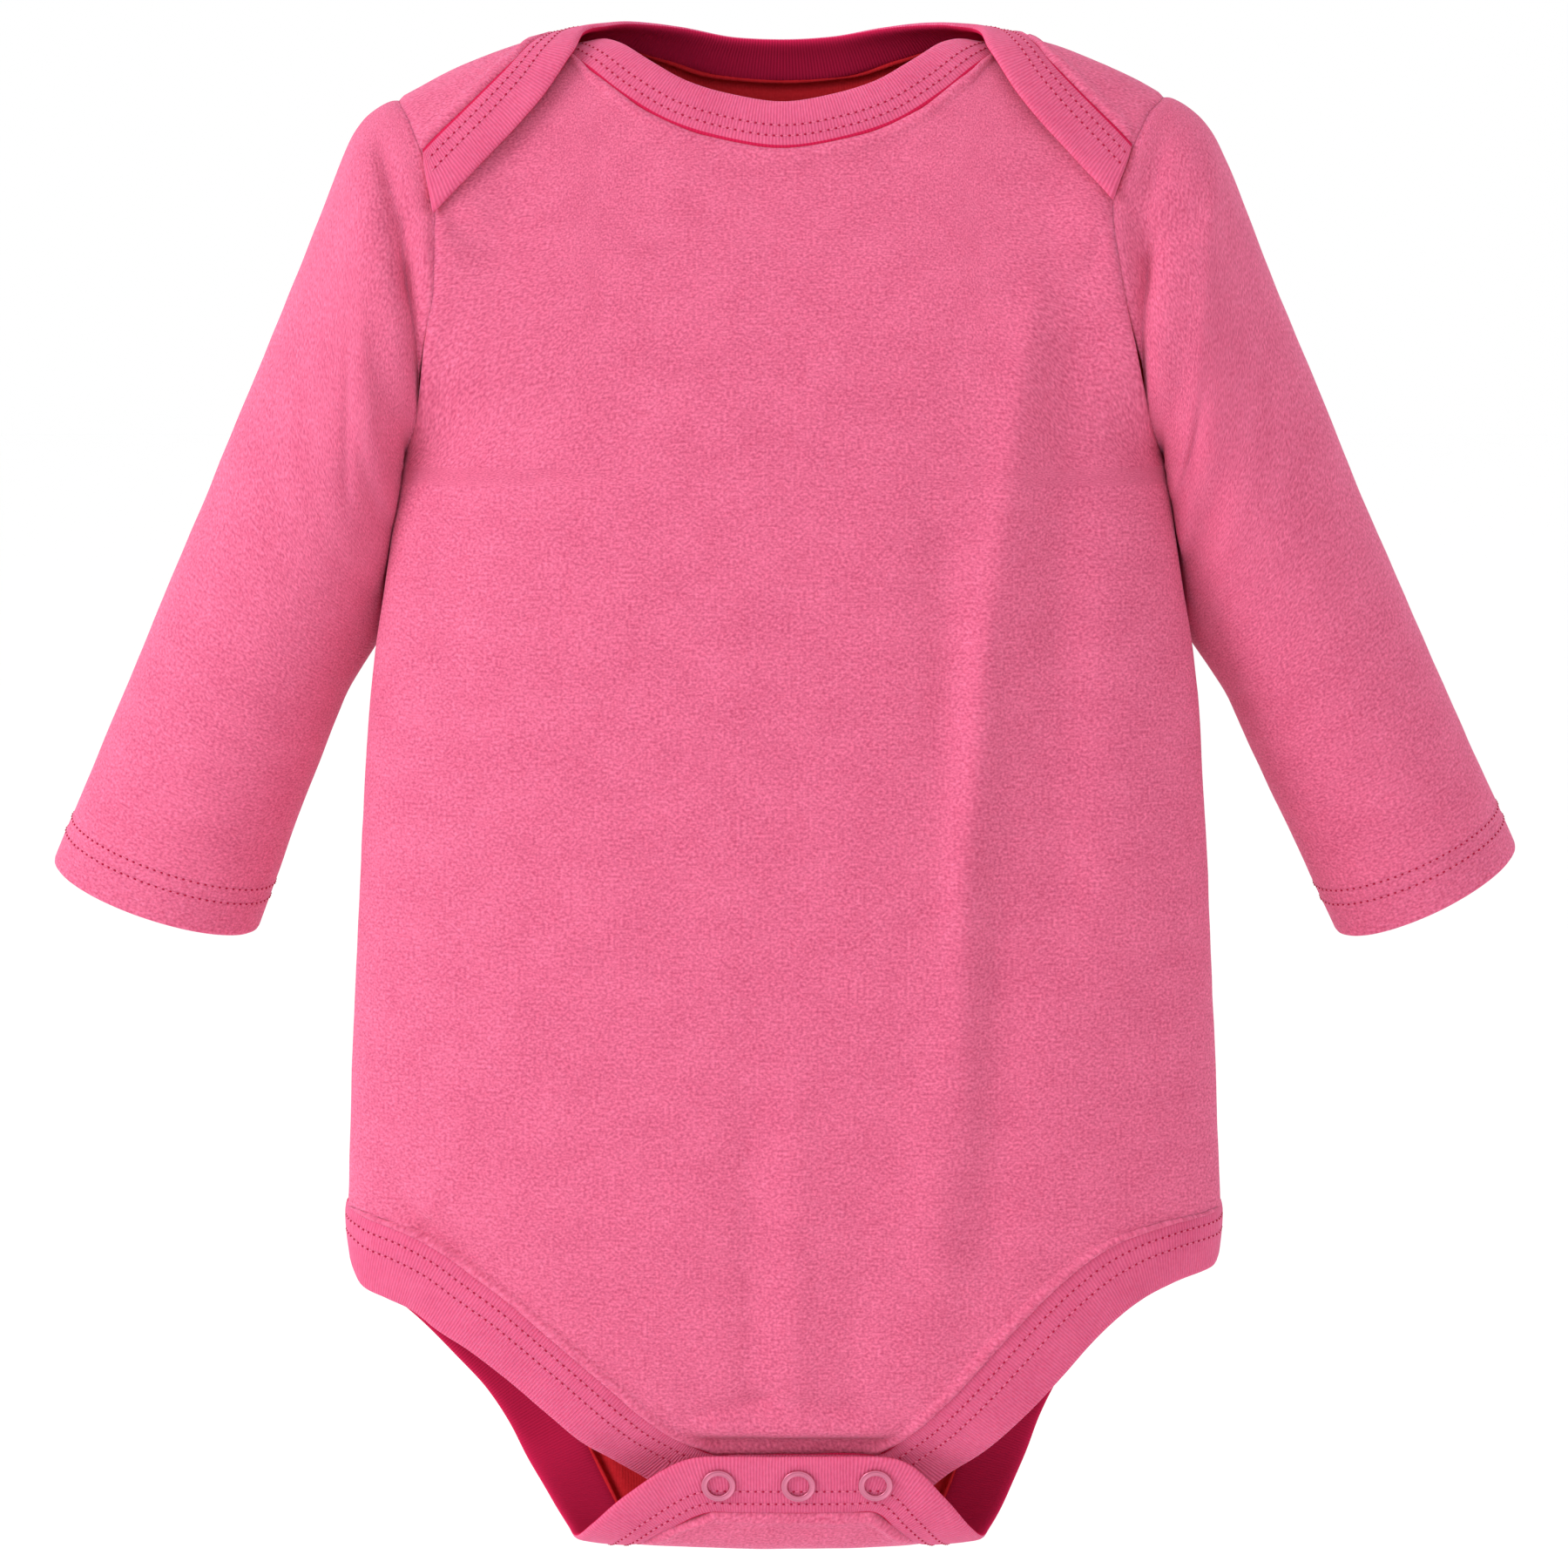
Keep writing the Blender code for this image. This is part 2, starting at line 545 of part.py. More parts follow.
def make_neck_strip(name, surface, stations, side, width):
    """A binding laid out along the surface from a panel's neck edge."""
    last = len(stations) - 1
    lines = []
    for number, frame in enumerate(edge_frames(surface, stations, side, 1.0)):
        seam, along, outward, _ = frame
        end_share = 2.0 * number / last - 1.0
        slant = NECK_END_SLANTS[0] if end_share < 0.0 else -NECK_END_SLANTS[1]
        lean = along * -slant * smoothstep(abs(end_share), 0.84, 1.0)
        line = [seam + outward * BINDING_GAP]
        laid = step_out(surface, stations[number], outward, width, 1.0)
        for cell, point in enumerate(laid, start=1):
            line.append(point + lean * cell / STRIP_CELLS)
        lines.append(line)
    return sheet(name, last, STRIP_CELLS, lambda column, row: lines[column][row], BINDING, rib)


def sleeve_fold_height(side, row, turn):
    total = 0.0
    for fold in SLEEVE_FOLDS:
        if fold.side != side:
            continue
        run = fold.row2 - fold.row1
        rise = (fold.turn2 - fold.turn1) / FOLD_TURN_SCALE
        length = math.hypot(run, rise)
        from_row = row - fold.row1
        from_turn = (turn - fold.turn1) / FOLD_TURN_SCALE
        along = (from_row * run + from_turn * rise) / length
        aside = (from_row * rise - from_turn * run) / length
        past_end = max(-along, along - length, 0.0)
        distance = math.hypot(aside, 0.5 * past_end) / fold.width
        total += fold.height * math.exp(-distance * distance)
    return total


def armhole_swell(side, turn):
    """How far the armhole seam lies from the straight line between its lowest and highest points."""
    edge = arch_point(side, turn)
    normal = normal_at(arch_point, side, min(max(turn, 2.0), 358.0), 1.0)
    edge.x = abs(edge.x) + SLEEVE_GAP + JERSEY * abs(normal.x)
    lowest = Vector((SLEEVE[0].near_x, 0.0, SLEEVE[0].near_z))
    highest = Vector((SLEEVE[0].far_x, 0.0, SLEEVE[0].far_z))
    return edge - lowest.lerp(highest, math.sin(math.radians(turn) / 2.0) ** 2)


def sleeve_point(pose, turn, place, inset=0.0):
    """A point of a sleeve, turn degrees round the section at a row number of the table."""
    row = row_at(SLEEVE, place)
    own = max((place - POSE_START_ROW) / (len(SLEEVE) - 1 - POSE_START_ROW), 0.0) ** 1.6
    near = Vector((row.near_x + own * pose.near_out, row.back, row.near_z + own * pose.near_up))
    far = Vector((row.far_x + own * pose.far_out, row.back, row.far_z + own * pose.far_up))
    angle = math.radians(turn)
    lean = math.radians(row.lean)
    front = Vector((0.0, -math.cos(lean), -math.sin(lean)))
    swell = front * (row.depth * math.sin(angle))
    swell = swell.lerp(armhole_swell(pose.side, turn), 1.0 - smoothstep(place, 0.0, ARMHOLE_BLEND))
    point = near.lerp(far, math.sin(angle / 2.0) ** 2) + swell
    outward = (point - near.lerp(far, 0.5)).normalized()
    point += outward * (sleeve_fold_height(pose.side, place, turn) - inset)
    return Vector((point.x * pose.side, point.y, point.z))


def make_sleeve(pose):
    places = [(float(row), 0.0) for row in range(len(SLEEVE) - 1)] + list(CUFF_FOLD)

    def place(column, row):
        return sleeve_point(pose, 360.0 * column / SLEEVE_COLUMNS, *places[row])

    return sheet(pose.name, SLEEVE_COLUMNS, len(places) - 1, place, JERSEY, jersey, closed=True)


def finish(obj, name, material):
    for collection in list(obj.users_collection):
        collection.objects.unlink(obj)
    garment.objects.link(obj)
    obj.name = name
    obj.data.name = name
    obj.data.shade_smooth()
    obj.data.materials.append(material)


def make_ring(name, place, turned):
    bpy.ops.mesh.primitive_torus_add(
        major_radius=SNAP_RADIUS - RING_WIRE,
        minor_radius=RING_WIRE,
        major_segments=RING_STEPS,
        minor_segments=6,
        location=place,
        rotation=turned,
    )
    finish(bpy.context.object, name, nickel)


def make_turned(name, profile, closed, place, turned):
    """A turned piece: a profile of (radius, height) points swept round the snap's axis."""
    mesh = bpy.data.meshes.new(name)
    last = len(profile) - 1
    edges = [(number, number + 1) for number in range(last)]
    if closed:
        edges.append((last, 0))
    mesh.from_pydata([(radius, 0.0, height) for radius, height in profile], edges, [])
    obj = bpy.data.objects.new(name, mesh)
    bpy.context.scene.collection.objects.link(obj)
    obj.location = place
    obj.rotation_euler = turned
    screw = obj.modifiers.new("turn", "SCREW")
    screw.steps = RING_STEPS
    screw.render_steps = RING_STEPS
    screw.use_merge_vertices = True
    screw.merge_threshold = 0.00001
    screw.use_smooth_shade = True
    finish(obj, name, nickel)


def make_snap(name, x):
    """A ring snap: prong ring and socket on the flap, stud and prong ring on the tab behind it."""
    row = BACK_WALL[BACK_END_ROW]
    share = round_share(row, x - row.shift)
    seam = back_round(share, BACK_END_ROW)
    normal = normal_at(back_round, share, BACK_END_ROW, 0.1)
    upward = normal.cross(Vector((1.0, 0.0, 0.0))).normalized()
    low = lay_straight(seam, upward, normal, HEM_WIDTH, 1.0 / STRIP_CELLS)
    high = lay_straight(seam, upward, normal, HEM_WIDTH, 2.0 / STRIP_CELLS)
    centre = low.lerp(high, 0.5)
    normal = (high - low).cross(Vector((-1.0, 0.0, 0.0))).normalized()
    turned = normal.to_track_quat("Z", "Y").to_euler()
    half = BINDING / 2.0 + SNAP_GAP

    make_ring("snap_ring_" + name, centre + normal * (half + RING_WIRE), turned)
    inner, outer = SOCKET_HOLE, SNAP_RADIUS
    socket = ((outer, SOCKET_HEIGHT), (outer, 0.0), (inner, 0.0), (inner, SOCKET_HEIGHT))
    socket_place = centre - normal * (half + SOCKET_HEIGHT)
    make_turned("snap_socket_" + name, socket, True, socket_place, turned)
    post = inner - SNAP_GAP
    top = ((0.0, STUD_POST), (post, STUD_POST), (post, STUD_BASE))
    stud = top + ((outer, STUD_BASE), (outer, 0.0), (0.0, 0.0))
    stud_place = centre - normal * (FLAP_TO_TAB - half)
    make_turned("snap_stud_" + name, stud, False, stud_place, turned)
    make_ring("snap_back_ring_" + name, centre - normal * (FLAP_TO_TAB + half + RING_WIRE), turned)


clear_scene()
garment = bpy.data.collections.new("baby_bodysuit")
bpy.context.scene.collection.children.link(garment)
jersey = make_material("pink_jersey", PINK_JERSEY, 0.85, 0.0)
rib = make_material("pink_rib", PINK_RIB, 0.85, 0.0)
nickel = make_material("nickel", NICKEL, 0.30, 1.0)

make_panel("front_panel", front_wall, lapped_arch, FRONT_END_ROW, FRONT_NECK, 0.0)
make_panel("back_panel", back_wall, arch_point, BACK_END_ROW, BACK_NECK, 360.0)

front_hem = hem_stations(FRONT_WALL, FRONT_LEG_ROW, FRONT_END_ROW)
back_hem = hem_stations(BACK_WALL, BACK_LEG_ROW, BACK_END_ROW)
make_hem_strip("hem_binding_front", front_round, front_hem, 1.0, FRONT_HEM_WIDTHS)
make_hem_strip("hem_binding_back", back_round, back_hem, -1.0, BACK_HEM_WIDTHS)
make_neck_strip("neck_binding_front", lapped_arch, neck_stations(FRONT_NECK), -1.0, FRONT_NECK_WIDTH)
make_neck_strip("neck_binding_back", arch_point, neck_stations(BACK_NECK), 1.0, BACK_NECK_WIDTH)

for sleeve_pose in SLEEVE_POSES:
    make_sleeve(sleeve_pose)
for snap_name, snap_x in zip(SNAP_NAMES, SNAP_X):
    make_snap(snap_name, snap_x)
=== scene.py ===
"""A baby bodysuit as it is sewn: jersey front, back and sleeves, rib bindings, twin stitching, snaps.

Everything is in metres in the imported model's own frame: +Z is up, the front faces -Y and the wearer's
left is +X. The origin is the middle of the neck, level with the top of the shoulders.
"""

import functools
import json
import math
from collections import namedtuple

import bmesh
import bpy
from mathutils import Matrix, Vector, noise

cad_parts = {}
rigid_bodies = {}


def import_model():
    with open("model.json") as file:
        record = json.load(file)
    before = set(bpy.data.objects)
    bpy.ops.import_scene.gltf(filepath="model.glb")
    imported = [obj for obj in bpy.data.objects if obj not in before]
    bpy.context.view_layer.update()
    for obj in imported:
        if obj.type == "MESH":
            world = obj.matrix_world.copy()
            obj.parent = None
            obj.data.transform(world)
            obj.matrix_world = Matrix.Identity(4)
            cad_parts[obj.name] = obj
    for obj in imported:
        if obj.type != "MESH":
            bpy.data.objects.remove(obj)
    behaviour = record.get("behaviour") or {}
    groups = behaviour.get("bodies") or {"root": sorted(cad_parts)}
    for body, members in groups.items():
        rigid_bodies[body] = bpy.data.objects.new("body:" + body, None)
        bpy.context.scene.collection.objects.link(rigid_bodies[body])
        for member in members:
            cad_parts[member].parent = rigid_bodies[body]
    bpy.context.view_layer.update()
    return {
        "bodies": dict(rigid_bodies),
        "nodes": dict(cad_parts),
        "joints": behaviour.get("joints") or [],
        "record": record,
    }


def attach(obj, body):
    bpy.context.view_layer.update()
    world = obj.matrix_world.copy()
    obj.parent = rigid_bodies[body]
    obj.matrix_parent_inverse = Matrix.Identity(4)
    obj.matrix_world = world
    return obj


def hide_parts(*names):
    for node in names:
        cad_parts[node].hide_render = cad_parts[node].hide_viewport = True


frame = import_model()

# ---------------------------------------------------------------------------------------------
# Front panel. One piece of light cotton single jersey, pink with a faint heather, cut to a wide
# chest and a narrow tab at the crotch. Its two wings run over the shoulders, under the back's
# flaps. It is sewn to the back at the sides and to the sleeves at the armholes.

JERSEY = 0.0012  # thickness of a single layer
UNDERARM_Z = -0.1200  # lowest point of the armholes
LOWEST_CENTRE_Z = -0.3700  # the hollow's centre line runs from the underarms down to here
NUDGE = 0.004  # a small step across, for slopes
SECTION_POWER = 2.3  # squareness of the body's level sections
FRONT_ARCH_POWER = 2.5  # squareness of the front's arch from chest to shoulder
BACK_ARCH_POWER = 3.2  # the same for the back, which is fuller under the neck
ARMHOLE_FULLNESS = 0.90  # depth at the armhole's edge as a share of the depth at the centre
ARMHOLE_ROUND = 4.4  # how soon the armhole widens above its lowest point
SHOULDER_FLAT_X = 0.0300  # the shoulder line starts to fall here
SHOULDER_END_X = 0.1050
SHOULDER_DROP = 0.0215  # fall of the shoulder line at the sleeve
SHOULDER_POWER = 2.1
CROTCH_LIFT = 0.0024  # rise of the crotch strip's sides
CROTCH_LIFT_X = 0.0550
CROTCH_LIFT_Z = (-0.3980, -0.4180)
FOLD_END_Z = (-0.3950, -0.4050)  # the body's folds fade out here
LAP = 0.0042  # depth from the back's flap to the front's wing under it
LAP_TURN = (77.0, 104.0)  # the front sinks below the back's flap between these angles
EDGE_LAP = 0.0020  # the same at the armhole, where both layers are sewn together
EDGE_LAP_TURN = (101.0, 111.0)
EDGE_LAP_ACROSS = (0.78, 0.97)
FLAP_TIP_TURN = (111.0, 114.0)  # the flaps' lower tips lie here

# One row for each level section, from the underarm down. y and z lie on the centre line, wall_x is
# the half-width of the whole section, seam_x is where the panel's cut edges lie, shift moves the
# section sideways and skew its cut edges alone. The last row lies past the panel's own end and gives
# its binding's slant.
WallRow = namedtuple("WallRow", "y z wall_x seam_x shift skew", defaults=(0.0,))

FRONT_WALL = tuple(WallRow(*row) for row in (
    (-0.0380, -0.1200, 0.1044, 0.1044, 0.0),
    (-0.0385, -0.1480, 0.1084, 0.1084, 0.0),
    (-0.0390, -0.1700, 0.1120, 0.1120, 0.0),
    (-0.0393, -0.1950, 0.1146, 0.1146, 0.0),
    (-0.0397, -0.2200, 0.1160, 0.1160, 0.0),
    (-0.0401, -0.2450, 0.1173, 0.1173, 0.0),
    (-0.0404, -0.2700, 0.1186, 0.1186, 0.0),
    (-0.0405, -0.2930, 0.1197, 0.1197, 0.0),
    (-0.0402, -0.3120, 0.1205, 0.1205, 0.0),
    (-0.0395, -0.3243, 0.1209, 0.1209, 0.0),
    (-0.0394, -0.3250, 0.1209, 0.1185, 0.0),
    (-0.0392, -0.3264, 0.1209, 0.1100, 0.0, -0.0038),
    (-0.0388, -0.3290, 0.1209, 0.0998, 0.0, -0.0043),
    (-0.0382, -0.3336, 0.1209, 0.0901, 0.0, -0.0042),
    (-0.0372, -0.3400, 0.1209, 0.0813, 0.0, -0.0038),
    (-0.0362, -0.3470, 0.1209, 0.0726, 0.0, -0.0027),
    (-0.0349, -0.3555, 0.1209, 0.0637, 0.0, -0.0016),
    (-0.0335, -0.3650, 0.1209, 0.0541, 0.0, -0.0003),
    (-0.0319, -0.3740, 0.1209, 0.0450, 0.0, 0.0007),
    (-0.0285, -0.3811, 0.1209, 0.0376, 0.0010, 0.0003),
    (-0.0241, -0.3866, 0.1209, 0.0306, 0.0022),
    (-0.0212, -0.3914, 0.1209, 0.0232, 0.0034),
    (-0.0206, -0.3980, 0.1209, 0.0232, 0.0034),
))
FRONT_LEG_ROW = 9
FRONT_END_ROW = 21

BACK_WALL = tuple(WallRow(*row) for row in (
    (0.0370, -0.1200, 0.1044, 0.1044, 0.0),
    (0.0366, -0.1480, 0.1084, 0.1084, 0.0),
    (0.0362, -0.1700, 0.1120, 0.1120, 0.0),
    (0.0360, -0.1950, 0.1146, 0.1146, 0.0),
    (0.0362, -0.2200, 0.1160, 0.1160, 0.0),
    (0.0372, -0.2450, 0.1173, 0.1173, 0.0),
    (0.0387, -0.2700, 0.1186, 0.1186, 0.0),
    (0.0402, -0.2930, 0.1197, 0.1197, 0.0),
    (0.0413, -0.3120, 0.1205, 0.1205, 0.0),
    (0.0418, -0.3243, 0.1209, 0.1209, 0.0),
    (0.0418, -0.3250, 0.1209, 0.1185, 0.0),
    (0.0419, -0.3268, 0.1209, 0.1147, -0.0008),
    (0.0419, -0.3302, 0.1209, 0.1090, -0.0045),
    (0.0418, -0.3358, 0.1209, 0.1022, -0.0074),
    (0.0416, -0.3425, 0.1209, 0.0942, -0.0078),
    (0.0410, -0.3520, 0.1209, 0.0848, -0.0072),
    (0.0398, -0.3630, 0.1209, 0.0758, -0.0058),
    (0.0380, -0.3740, 0.1209, 0.0675, -0.0042),
    (0.0353, -0.3850, 0.1209, 0.0610, -0.0032),
    (0.0312, -0.3960, 0.1209, 0.0556, -0.0024),
    (0.0250, -0.4062, 0.1209, 0.0509, -0.0018),
    (0.0165, -0.4145, 0.1209, 0.0467, -0.0014),
    (0.0060, -0.4196, 0.1209, 0.0431, -0.0013),
    (-0.0050, -0.4207, 0.1209, 0.0406, -0.0014),
    (-0.0140, -0.4184, 0.1209, 0.0377, -0.0014),
    (-0.0200, -0.4132, 0.1209, 0.0320, -0.0005),
    (-0.0236, -0.4066, 0.1209, 0.0228, 0.0024),
    (-0.0257, -0.3980, 0.1209, 0.0228, 0.0024),
))
BACK_LEG_ROW = 9
BACK_END_ROW = 26

# Distance of the armhole seams from the middle, by height up the armhole (0 underarm, 1 shoulder). The
# wearer's left one is pulled in a little.
ArmholeRow = namedtuple("ArmholeRow", "height right_x left_x")
ARMHOLE = tuple(ArmholeRow(*row) for row in (
    (0.00, 0.1044, 0.1044),
    (0.15, 0.0990, 0.0984),
    (0.32, 0.0963, 0.0940),
    (0.47, 0.0938, 0.0903),
    (0.63, 0.0935, 0.0880),
    (0.81, 0.0968, 0.0930),
    (0.93, 0.1010, 0.0980),
    (1.00, 0.1045, 0.1030),
))

# Cut edges at the neck, centre to armhole. across is a share of the armhole's half-width, turn is the
# angle round the shoulder arch: 0 at the front underarm, 180 on the shoulder, 360 at the back underarm.
NeckRow = namedtuple("NeckRow", "across turn")
FRONT_NECK = tuple(NeckRow(*row) for row in (
    (0.00, 116.8),
    (0.24, 121.0),
    (0.40, 129.6),
    (0.525, 147.4),
    (0.585, 170.0),
    (0.64, 187.0),
    (0.72, 203.0),
    (0.84, 218.4),
    (1.00, 230.4),
))
BACK_NECK = tuple(NeckRow(*row) for row in (
    (0.00, 221.2),
    (0.20, 219.0),
    (0.34, 211.5),
    (0.44, 204.0),
    (0.52, 196.0),
    (0.585, 187.0),
    (0.63, 175.0),
    (0.70, 157.0),
    (0.84, 141.6),
    (1.00, 129.6),
))

# Folds of the body: a soft ridge (height > 0) or trough from one point to another, seen from the
# front or the back.
Fold = namedtuple("Fold", "x1 z1 x2 z2 height width")
FRONT_FOLDS = tuple(Fold(*row) for row in (
    (0.062, -0.100, 0.055, -0.200, 0.0017, 0.0080),
    (0.054, -0.195, 0.041, -0.318, 0.0016, 0.0075),
    (0.077, -0.095, 0.074, -0.228, -0.0024, 0.0085),
    (0.063, -0.198, 0.055, -0.322, -0.0016, 0.0080),
    (0.040, -0.140, 0.040, -0.205, -0.0008, 0.0070),
    (-0.093, -0.098, -0.091, -0.165, -0.0013, 0.0085),
    (-0.106, -0.326, -0.087, -0.337, -0.0012, 0.0065),
    (-0.022, -0.374, 0.026, -0.376, -0.0012, 0.0050),
))
# Smaller creases of the front, on top of those.
FRONT_CREASES = tuple(Fold(*row) for row in (
    (-0.0935, -0.0520, -0.0870, -0.0555, -0.0022, 0.0030),
    (0.0870, -0.0575, 0.0835, -0.0620, -0.0013, 0.0028),
    (0.0780, -0.0845, 0.0940, -0.0810, -0.0006, 0.0018),
    (0.0660, -0.0810, 0.0536, -0.1660, 0.0010, 0.0040),
    (0.0536, -0.1660, 0.0480, -0.2310, 0.0013, 0.0036),
    (0.0480, -0.2310, 0.0494, -0.3010, 0.0010, 0.0040),
    (0.0437, -0.1460, 0.0437, -0.1800, -0.0008, 0.0040),
    (0.0734, -0.1040, 0.0734, -0.1660, -0.0010, 0.0045),
    (0.0600, -0.1750, 0.0560, -0.2600, -0.0008, 0.0035),
    (-0.0094, -0.3000, -0.0090, -0.3700, -0.0009, 0.0045),
    (0.0028, -0.2950, 0.0030, -0.3680, 0.0009, 0.0045),
    (0.0200, -0.3200, 0.0190, -0.3650, -0.0006, 0.0050),
    (0.0460, -0.3250, 0.0400, -0.3520, 0.0009, 0.0070),
    (-0.1060, -0.3160, -0.1010, -0.3235, -0.0014, 0.0030),
    (-0.0980, -0.3265, -0.0880, -0.3330, -0.0014, 0.0034),
    (-0.1020, -0.3265, -0.0950, -0.3200, 0.0007, 0.0025),
    (-0.0210, -0.3775, -0.0060, -0.3735, -0.0009, 0.0018),
    (-0.0060, -0.3735, 0.0180, -0.3760, -0.0009, 0.0018),
    (-0.0180, -0.3815, 0.0240, -0.3820, 0.0016, 0.0026),
    (-0.0200, -0.3876, 0.0260, -0.3880, -0.0020, 0.0022),
))
CREASE_FADE = 0.0060  # they fade out this near a seam
PUFF_END_Z = (-0.4190, -0.4140)  # the seams lie flat under the crotch
FACING_DEPTH = 0.008  # creases lie on the side of the body that the panel covers, full from this far out
CREASE_START = 0.0005
ON_LEG_Z = (-0.3230, -0.3265)  # the side seam gives way to the leg binding between these heights
SHOULDER_DEPTH = 0.038
CREASE_END_Z = -0.3950  # below here the cloth turns under and has no creases of its own

# Relief of the cloth itself: broad and fine unevenness, and the dip into a sewn edge.
BROAD_PITCH, BROAD_HEIGHT = 0.0300, 0.00035
FINE_PITCH, FINE_HEIGHT = 0.0090, 0.00012
SEAM_DIP, SEAM_DIP_WIDTH = 0.0007, 0.0012
GROOVE, GROOVE_WIDTH = 0.0012, 0.0007
PUFF, PUFF_FROM_SEAM, PUFF_WIDTH = 0.0012, 0.0024, 0.0017
PUCKER_PITCH, PUCKER_HEIGHT, PUCKER_REACH = 0.0085, 0.00032, 0.0080


def smoothstep(value, start, end):
    share = min(max((value - start) / (end - start), 0.0), 1.0)
    return share * share * (3.0 - 2.0 * share)


def slope(before, here, after):
    """A slope through three values that never overshoots them."""
    rise_in = here - before
    rise_out = after - here
    if rise_in * rise_out <= 0.0:
        return 0.0
    return 2.0 * rise_in * rise_out / (rise_in + rise_out)


@functools.cache
def row_at(rows, place):
    """The table's columns at a fractional row number, on smooth curves through the rows."""
    last = len(rows) - 1
    place = min(max(place, 0.0), float(last))
    first = min(int(place), last - 1)
    share = place - first
    values = []
    for column in range(len(rows[0])):
        line = [row[column] for row in rows]
        start, end = line[first], line[first + 1]
        before = line[first - 1] if first > 0 else 2.0 * start - end
        after = line[first + 2] if first + 2 <= last else 2.0 * end - start
        slope_in = slope(before, start, end)
        slope_out = slope(start, end, after)
        square = share * share
        cube = square * share
        values.append(
            (2 * cube - 3 * square + 1) * start
            + (cube - 2 * square + share) * slope_in
            + (3 * square - 2 * cube) * end
            + (cube - square) * slope_out
        )
    return type(rows[0])(*values)


def value_at(rows, key, column=1):
    """One column of a table, at a value of its first column."""
    for number in range(len(rows) - 1):
        if key <= rows[number + 1][0] or number == len(rows) - 2:
            share = (key - rows[number][0]) / (rows[number + 1][0] - rows[number][0])
            return row_at(rows, number + share)[column]


def fold_height(folds, x, z):
    total = 0.0
    for fold in folds:
        length = math.hypot(fold.x2 - fold.x1, fold.z2 - fold.z1)
        along_x = (fold.x2 - fold.x1) / length
        along_z = (fold.z2 - fold.z1) / length
        along = (x - fold.x1) * along_x + (z - fold.z1) * along_z
        aside = (x - fold.x1) * along_z - (z - fold.z1) * along_x
        past_end = max(-along, along - length, 0.0)
        distance = math.hypot(aside, 0.4 * past_end) / fold.width
        if distance < 3.0:
            total += fold.height * math.exp(-distance * distance)
    return total


def across_wall(x, wall_x):
    """Depth at x as a share of the depth at the centre of a level section."""
    share = min(abs(x) / wall_x, 1.0)
    return (1.0 - share**SECTION_POWER) ** (1.0 / SECTION_POWER)


def wall_point(rows, folds, row, x):
    """A point of the body's wall below the underarm, on a level section, x from its middle."""
    lift = CROTCH_LIFT * (x / CROTCH_LIFT_X) ** 2 * smoothstep(row.z, *CROTCH_LIFT_Z)
    facing = 1.0 - smoothstep(row.z, *FOLD_END_Z)
    out = fold_height(folds, x, row.z) * facing
    y = row.y * across_wall(x, row.wall_x) + math.copysign(1.0, rows[0].y) * out
    return Vector((x + row.shift, y, row.z + lift))


def cut_x(row, across):
    """How far from the middle a share of the panel's cut half-width lies."""
    return row.seam_x * across + row.skew * across * across


def front_wall(across, place):
    row = row_at(FRONT_WALL, place)
    return wall_point(FRONT_WALL, FRONT_FOLDS, row, cut_x(row, across))


def shoulder_z(x):
    share = max(abs(x) - SHOULDER_FLAT_X, 0.0) / (SHOULDER_END_X - SHOULDER_FLAT_X)
    return -SHOULDER_DROP * share**SHOULDER_POWER


def arch_point(across, turn):
    """A point of the arch over the shoulders, turn degrees round from the front underarm's level."""
    height = math.sin(math.radians(turn) / 2.0) ** 2
    is_front = turn < 180.0
    power = FRONT_ARCH_POWER if is_front else BACK_ARCH_POWER
    depth = FRONT_WALL[0].y if is_front else BACK_WALL[0].y
    depth *= (1.0 - height**power) ** (1.0 / power)
    x = value_at(ARMHOLE, height, 1 if across < 0.0 else 2) * across
    fullness = ARMHOLE_FULLNESS * math.tanh(ARMHOLE_ROUND * height)
    edge = (1.0 - fullness**SECTION_POWER) ** (1.0 / SECTION_POWER)
    y = depth * across_wall(across * edge, 1.0)
    z = UNDERARM_Z + (shoulder_z(x) - UNDERARM_Z) * height
    fade = 1.0 - smoothstep(height, 0.3, 0.7)
    if fade > 0.0:
        folds = FRONT_FOLDS if is_front else BACK_FOLDS
        y += math.copysign(1.0, depth) * fold_height(folds, x, z) * fade
    return Vector((x, y, z))


def normal_at(surface, across, place, step):
    """The outward unit normal of a surface, by small steps towards its middle and along it."""
    inward = -NUDGE if across > 0.0 else NUDGE
    here = surface(across, place)
    sideways = (surface(across + inward, place) - here) / inward
    along = surface(across, place + step) - surface(across, place - step)
    normal = sideways.cross(along).normalized()
    centre_line = Vector((0.0, 0.0, min(max(here.z, LOWEST_CENTRE_Z), UNDERARM_Z)))
    return normal if normal.dot(here - centre_line) > 0.0 else -normal


def lapped_arch(across, turn):
    """The arch as the front panel has it, sunk under the back's flaps towards the shoulder."""
    at_edge = smoothstep(abs(across), *EDGE_LAP_ACROSS)
    sink = LAP * smoothstep(turn, *LAP_TURN) * (1.0 - at_edge)
    sink += EDGE_LAP * smoothstep(turn, *EDGE_LAP_TURN) * at_edge
    if sink == 0.0:
        return arch_point(across, turn)
    return arch_point(across, turn) - sink * normal_at(arch_point, across, max(turn, 1.0), 0.5)


